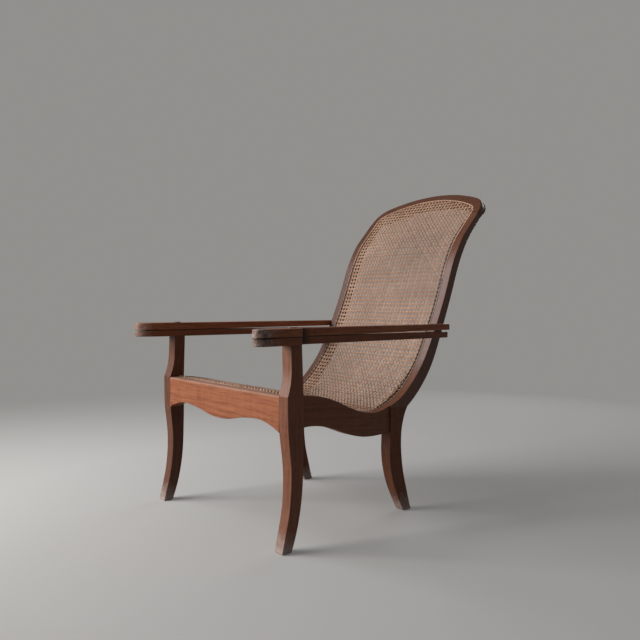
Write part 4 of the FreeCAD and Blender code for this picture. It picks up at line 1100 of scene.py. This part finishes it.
def make_floor():
    """A pale round floor that keeps the shadow and fades evenly into the backdrop with the distance from its
    middle.

    Its plain paint is darker to the light that it sends back up, so that the chair's sides stay in the shade.
    """
    nodes = Nodes("floor_paint")
    tree = nodes.tree
    place = nodes.add("TexCoord", output="Object")
    distance = nodes.add("VectorMath", {0: place}, output="Value", operation="LENGTH")
    far = nodes.range(distance, FLOOR_NEAR, FLOOR_FAR)
    paint = nodes.add("BsdfDiffuse", {"Color": (*FLOOR_PAINT, 1)})
    glow = nodes.add("Emission", {"Color": (*FLOOR_GLOW, 1), "Strength": 1.0})
    near_shader = nodes.add("AddShader", {0: paint, 1: glow})
    backdrop = nodes.add("Emission", {"Color": (*BACKDROP, 1), "Strength": 1.0})
    shown = nodes.add("MixShader", {0: far, 1: near_shader, 2: backdrop})
    hidden = nodes.add("BsdfDiffuse", {"Color": (*FLOOR_BOUNCE, 1)})
    surface = nodes.add("MixShader", {0: shown_ray(tree), 1: hidden, 2: shown})
    output = tree.nodes.new("ShaderNodeOutputMaterial")
    tree.links.new(surface, output.inputs["Surface"])
    mesh = bpy.data.meshes.new("floor")
    turn = np.linspace(0, 2 * math.pi, FLOOR_CORNERS + 1)[:-1]
    height = np.full(FLOOR_CORNERS, -FLOOR_DROP)
    rim = np.stack([np.cos(turn) * FLOOR_RADIUS, np.sin(turn) * FLOOR_RADIUS, height], axis=1)
    mesh.from_pydata(rim.tolist(), [], [list(range(FLOOR_CORNERS))])
    mesh.materials.append(nodes.material)
    floor = add_object("floor", mesh)


def soft_light(name, place, aim, size, power, colour):
    """A soft rectangular light at a place, turned towards aim, that the camera doesn't see."""
    data = bpy.data.lights.new(name, "AREA")
    data.shape = "RECTANGLE"
    data.size, data.size_y = size
    data.energy = power
    data.color = colour
    light = add_object(name, data)
    light.location = place
    light.rotation_euler = (Vector(aim) - Vector(place)).to_track_quat("-Z", "Y").to_euler()
    light.visible_camera = False


def make_world():
    """A pale backdrop for the camera and for reflections, and a dimmer even light on the object."""
    world = bpy.data.worlds.new("studio")
    bpy.context.scene.world = world
    world.use_nodes = True
    tree = world.node_tree
    tree.nodes.clear()
    seen = tree.nodes.new("ShaderNodeBackground")
    seen.inputs[0].default_value = (*BACKDROP, 1)
    light = tree.nodes.new("ShaderNodeBackground")
    light.inputs[0].default_value = (*FILL_LIGHT, 1)
    mix = tree.nodes.new("ShaderNodeMixShader")
    output = tree.nodes.new("ShaderNodeOutputWorld")
    tree.links.new(shown_ray(tree), mix.inputs[0])
    tree.links.new(light.outputs[0], mix.inputs[1])
    tree.links.new(seen.outputs[0], mix.inputs[2])
    tree.links.new(mix.outputs[0], output.inputs["Surface"])


def make_camera():
    """The camera, which is turned by 90 degrees from looking straight down to level, and by its pitch."""
    data = bpy.data.cameras.new("camera")
    data.lens = CAMERA_LENS
    data.sensor_width = SENSOR_WIDTH
    camera = add_object("camera", data)
    camera.location = CAMERA_PLACE
    turns = (90 + CAMERA_PITCH, CAMERA_ROLL, CAMERA_YAW)
    camera.rotation_euler = [math.radians(turn) for turn in turns]
    bpy.context.scene.camera = camera


strand_material = strand_cane()
make_weave(strand_material)
make_frayed_edge(strand_material)
make_ties(strand_material)
make_bridges(strand_material)
paint_wood()
paint_node("cane_binding", plain_cane())
make_floor()
make_world()
for light_values in LIGHTS:
    soft_light(*light_values)
make_camera()
bpy.context.scene.view_settings.view_transform = "Standard"
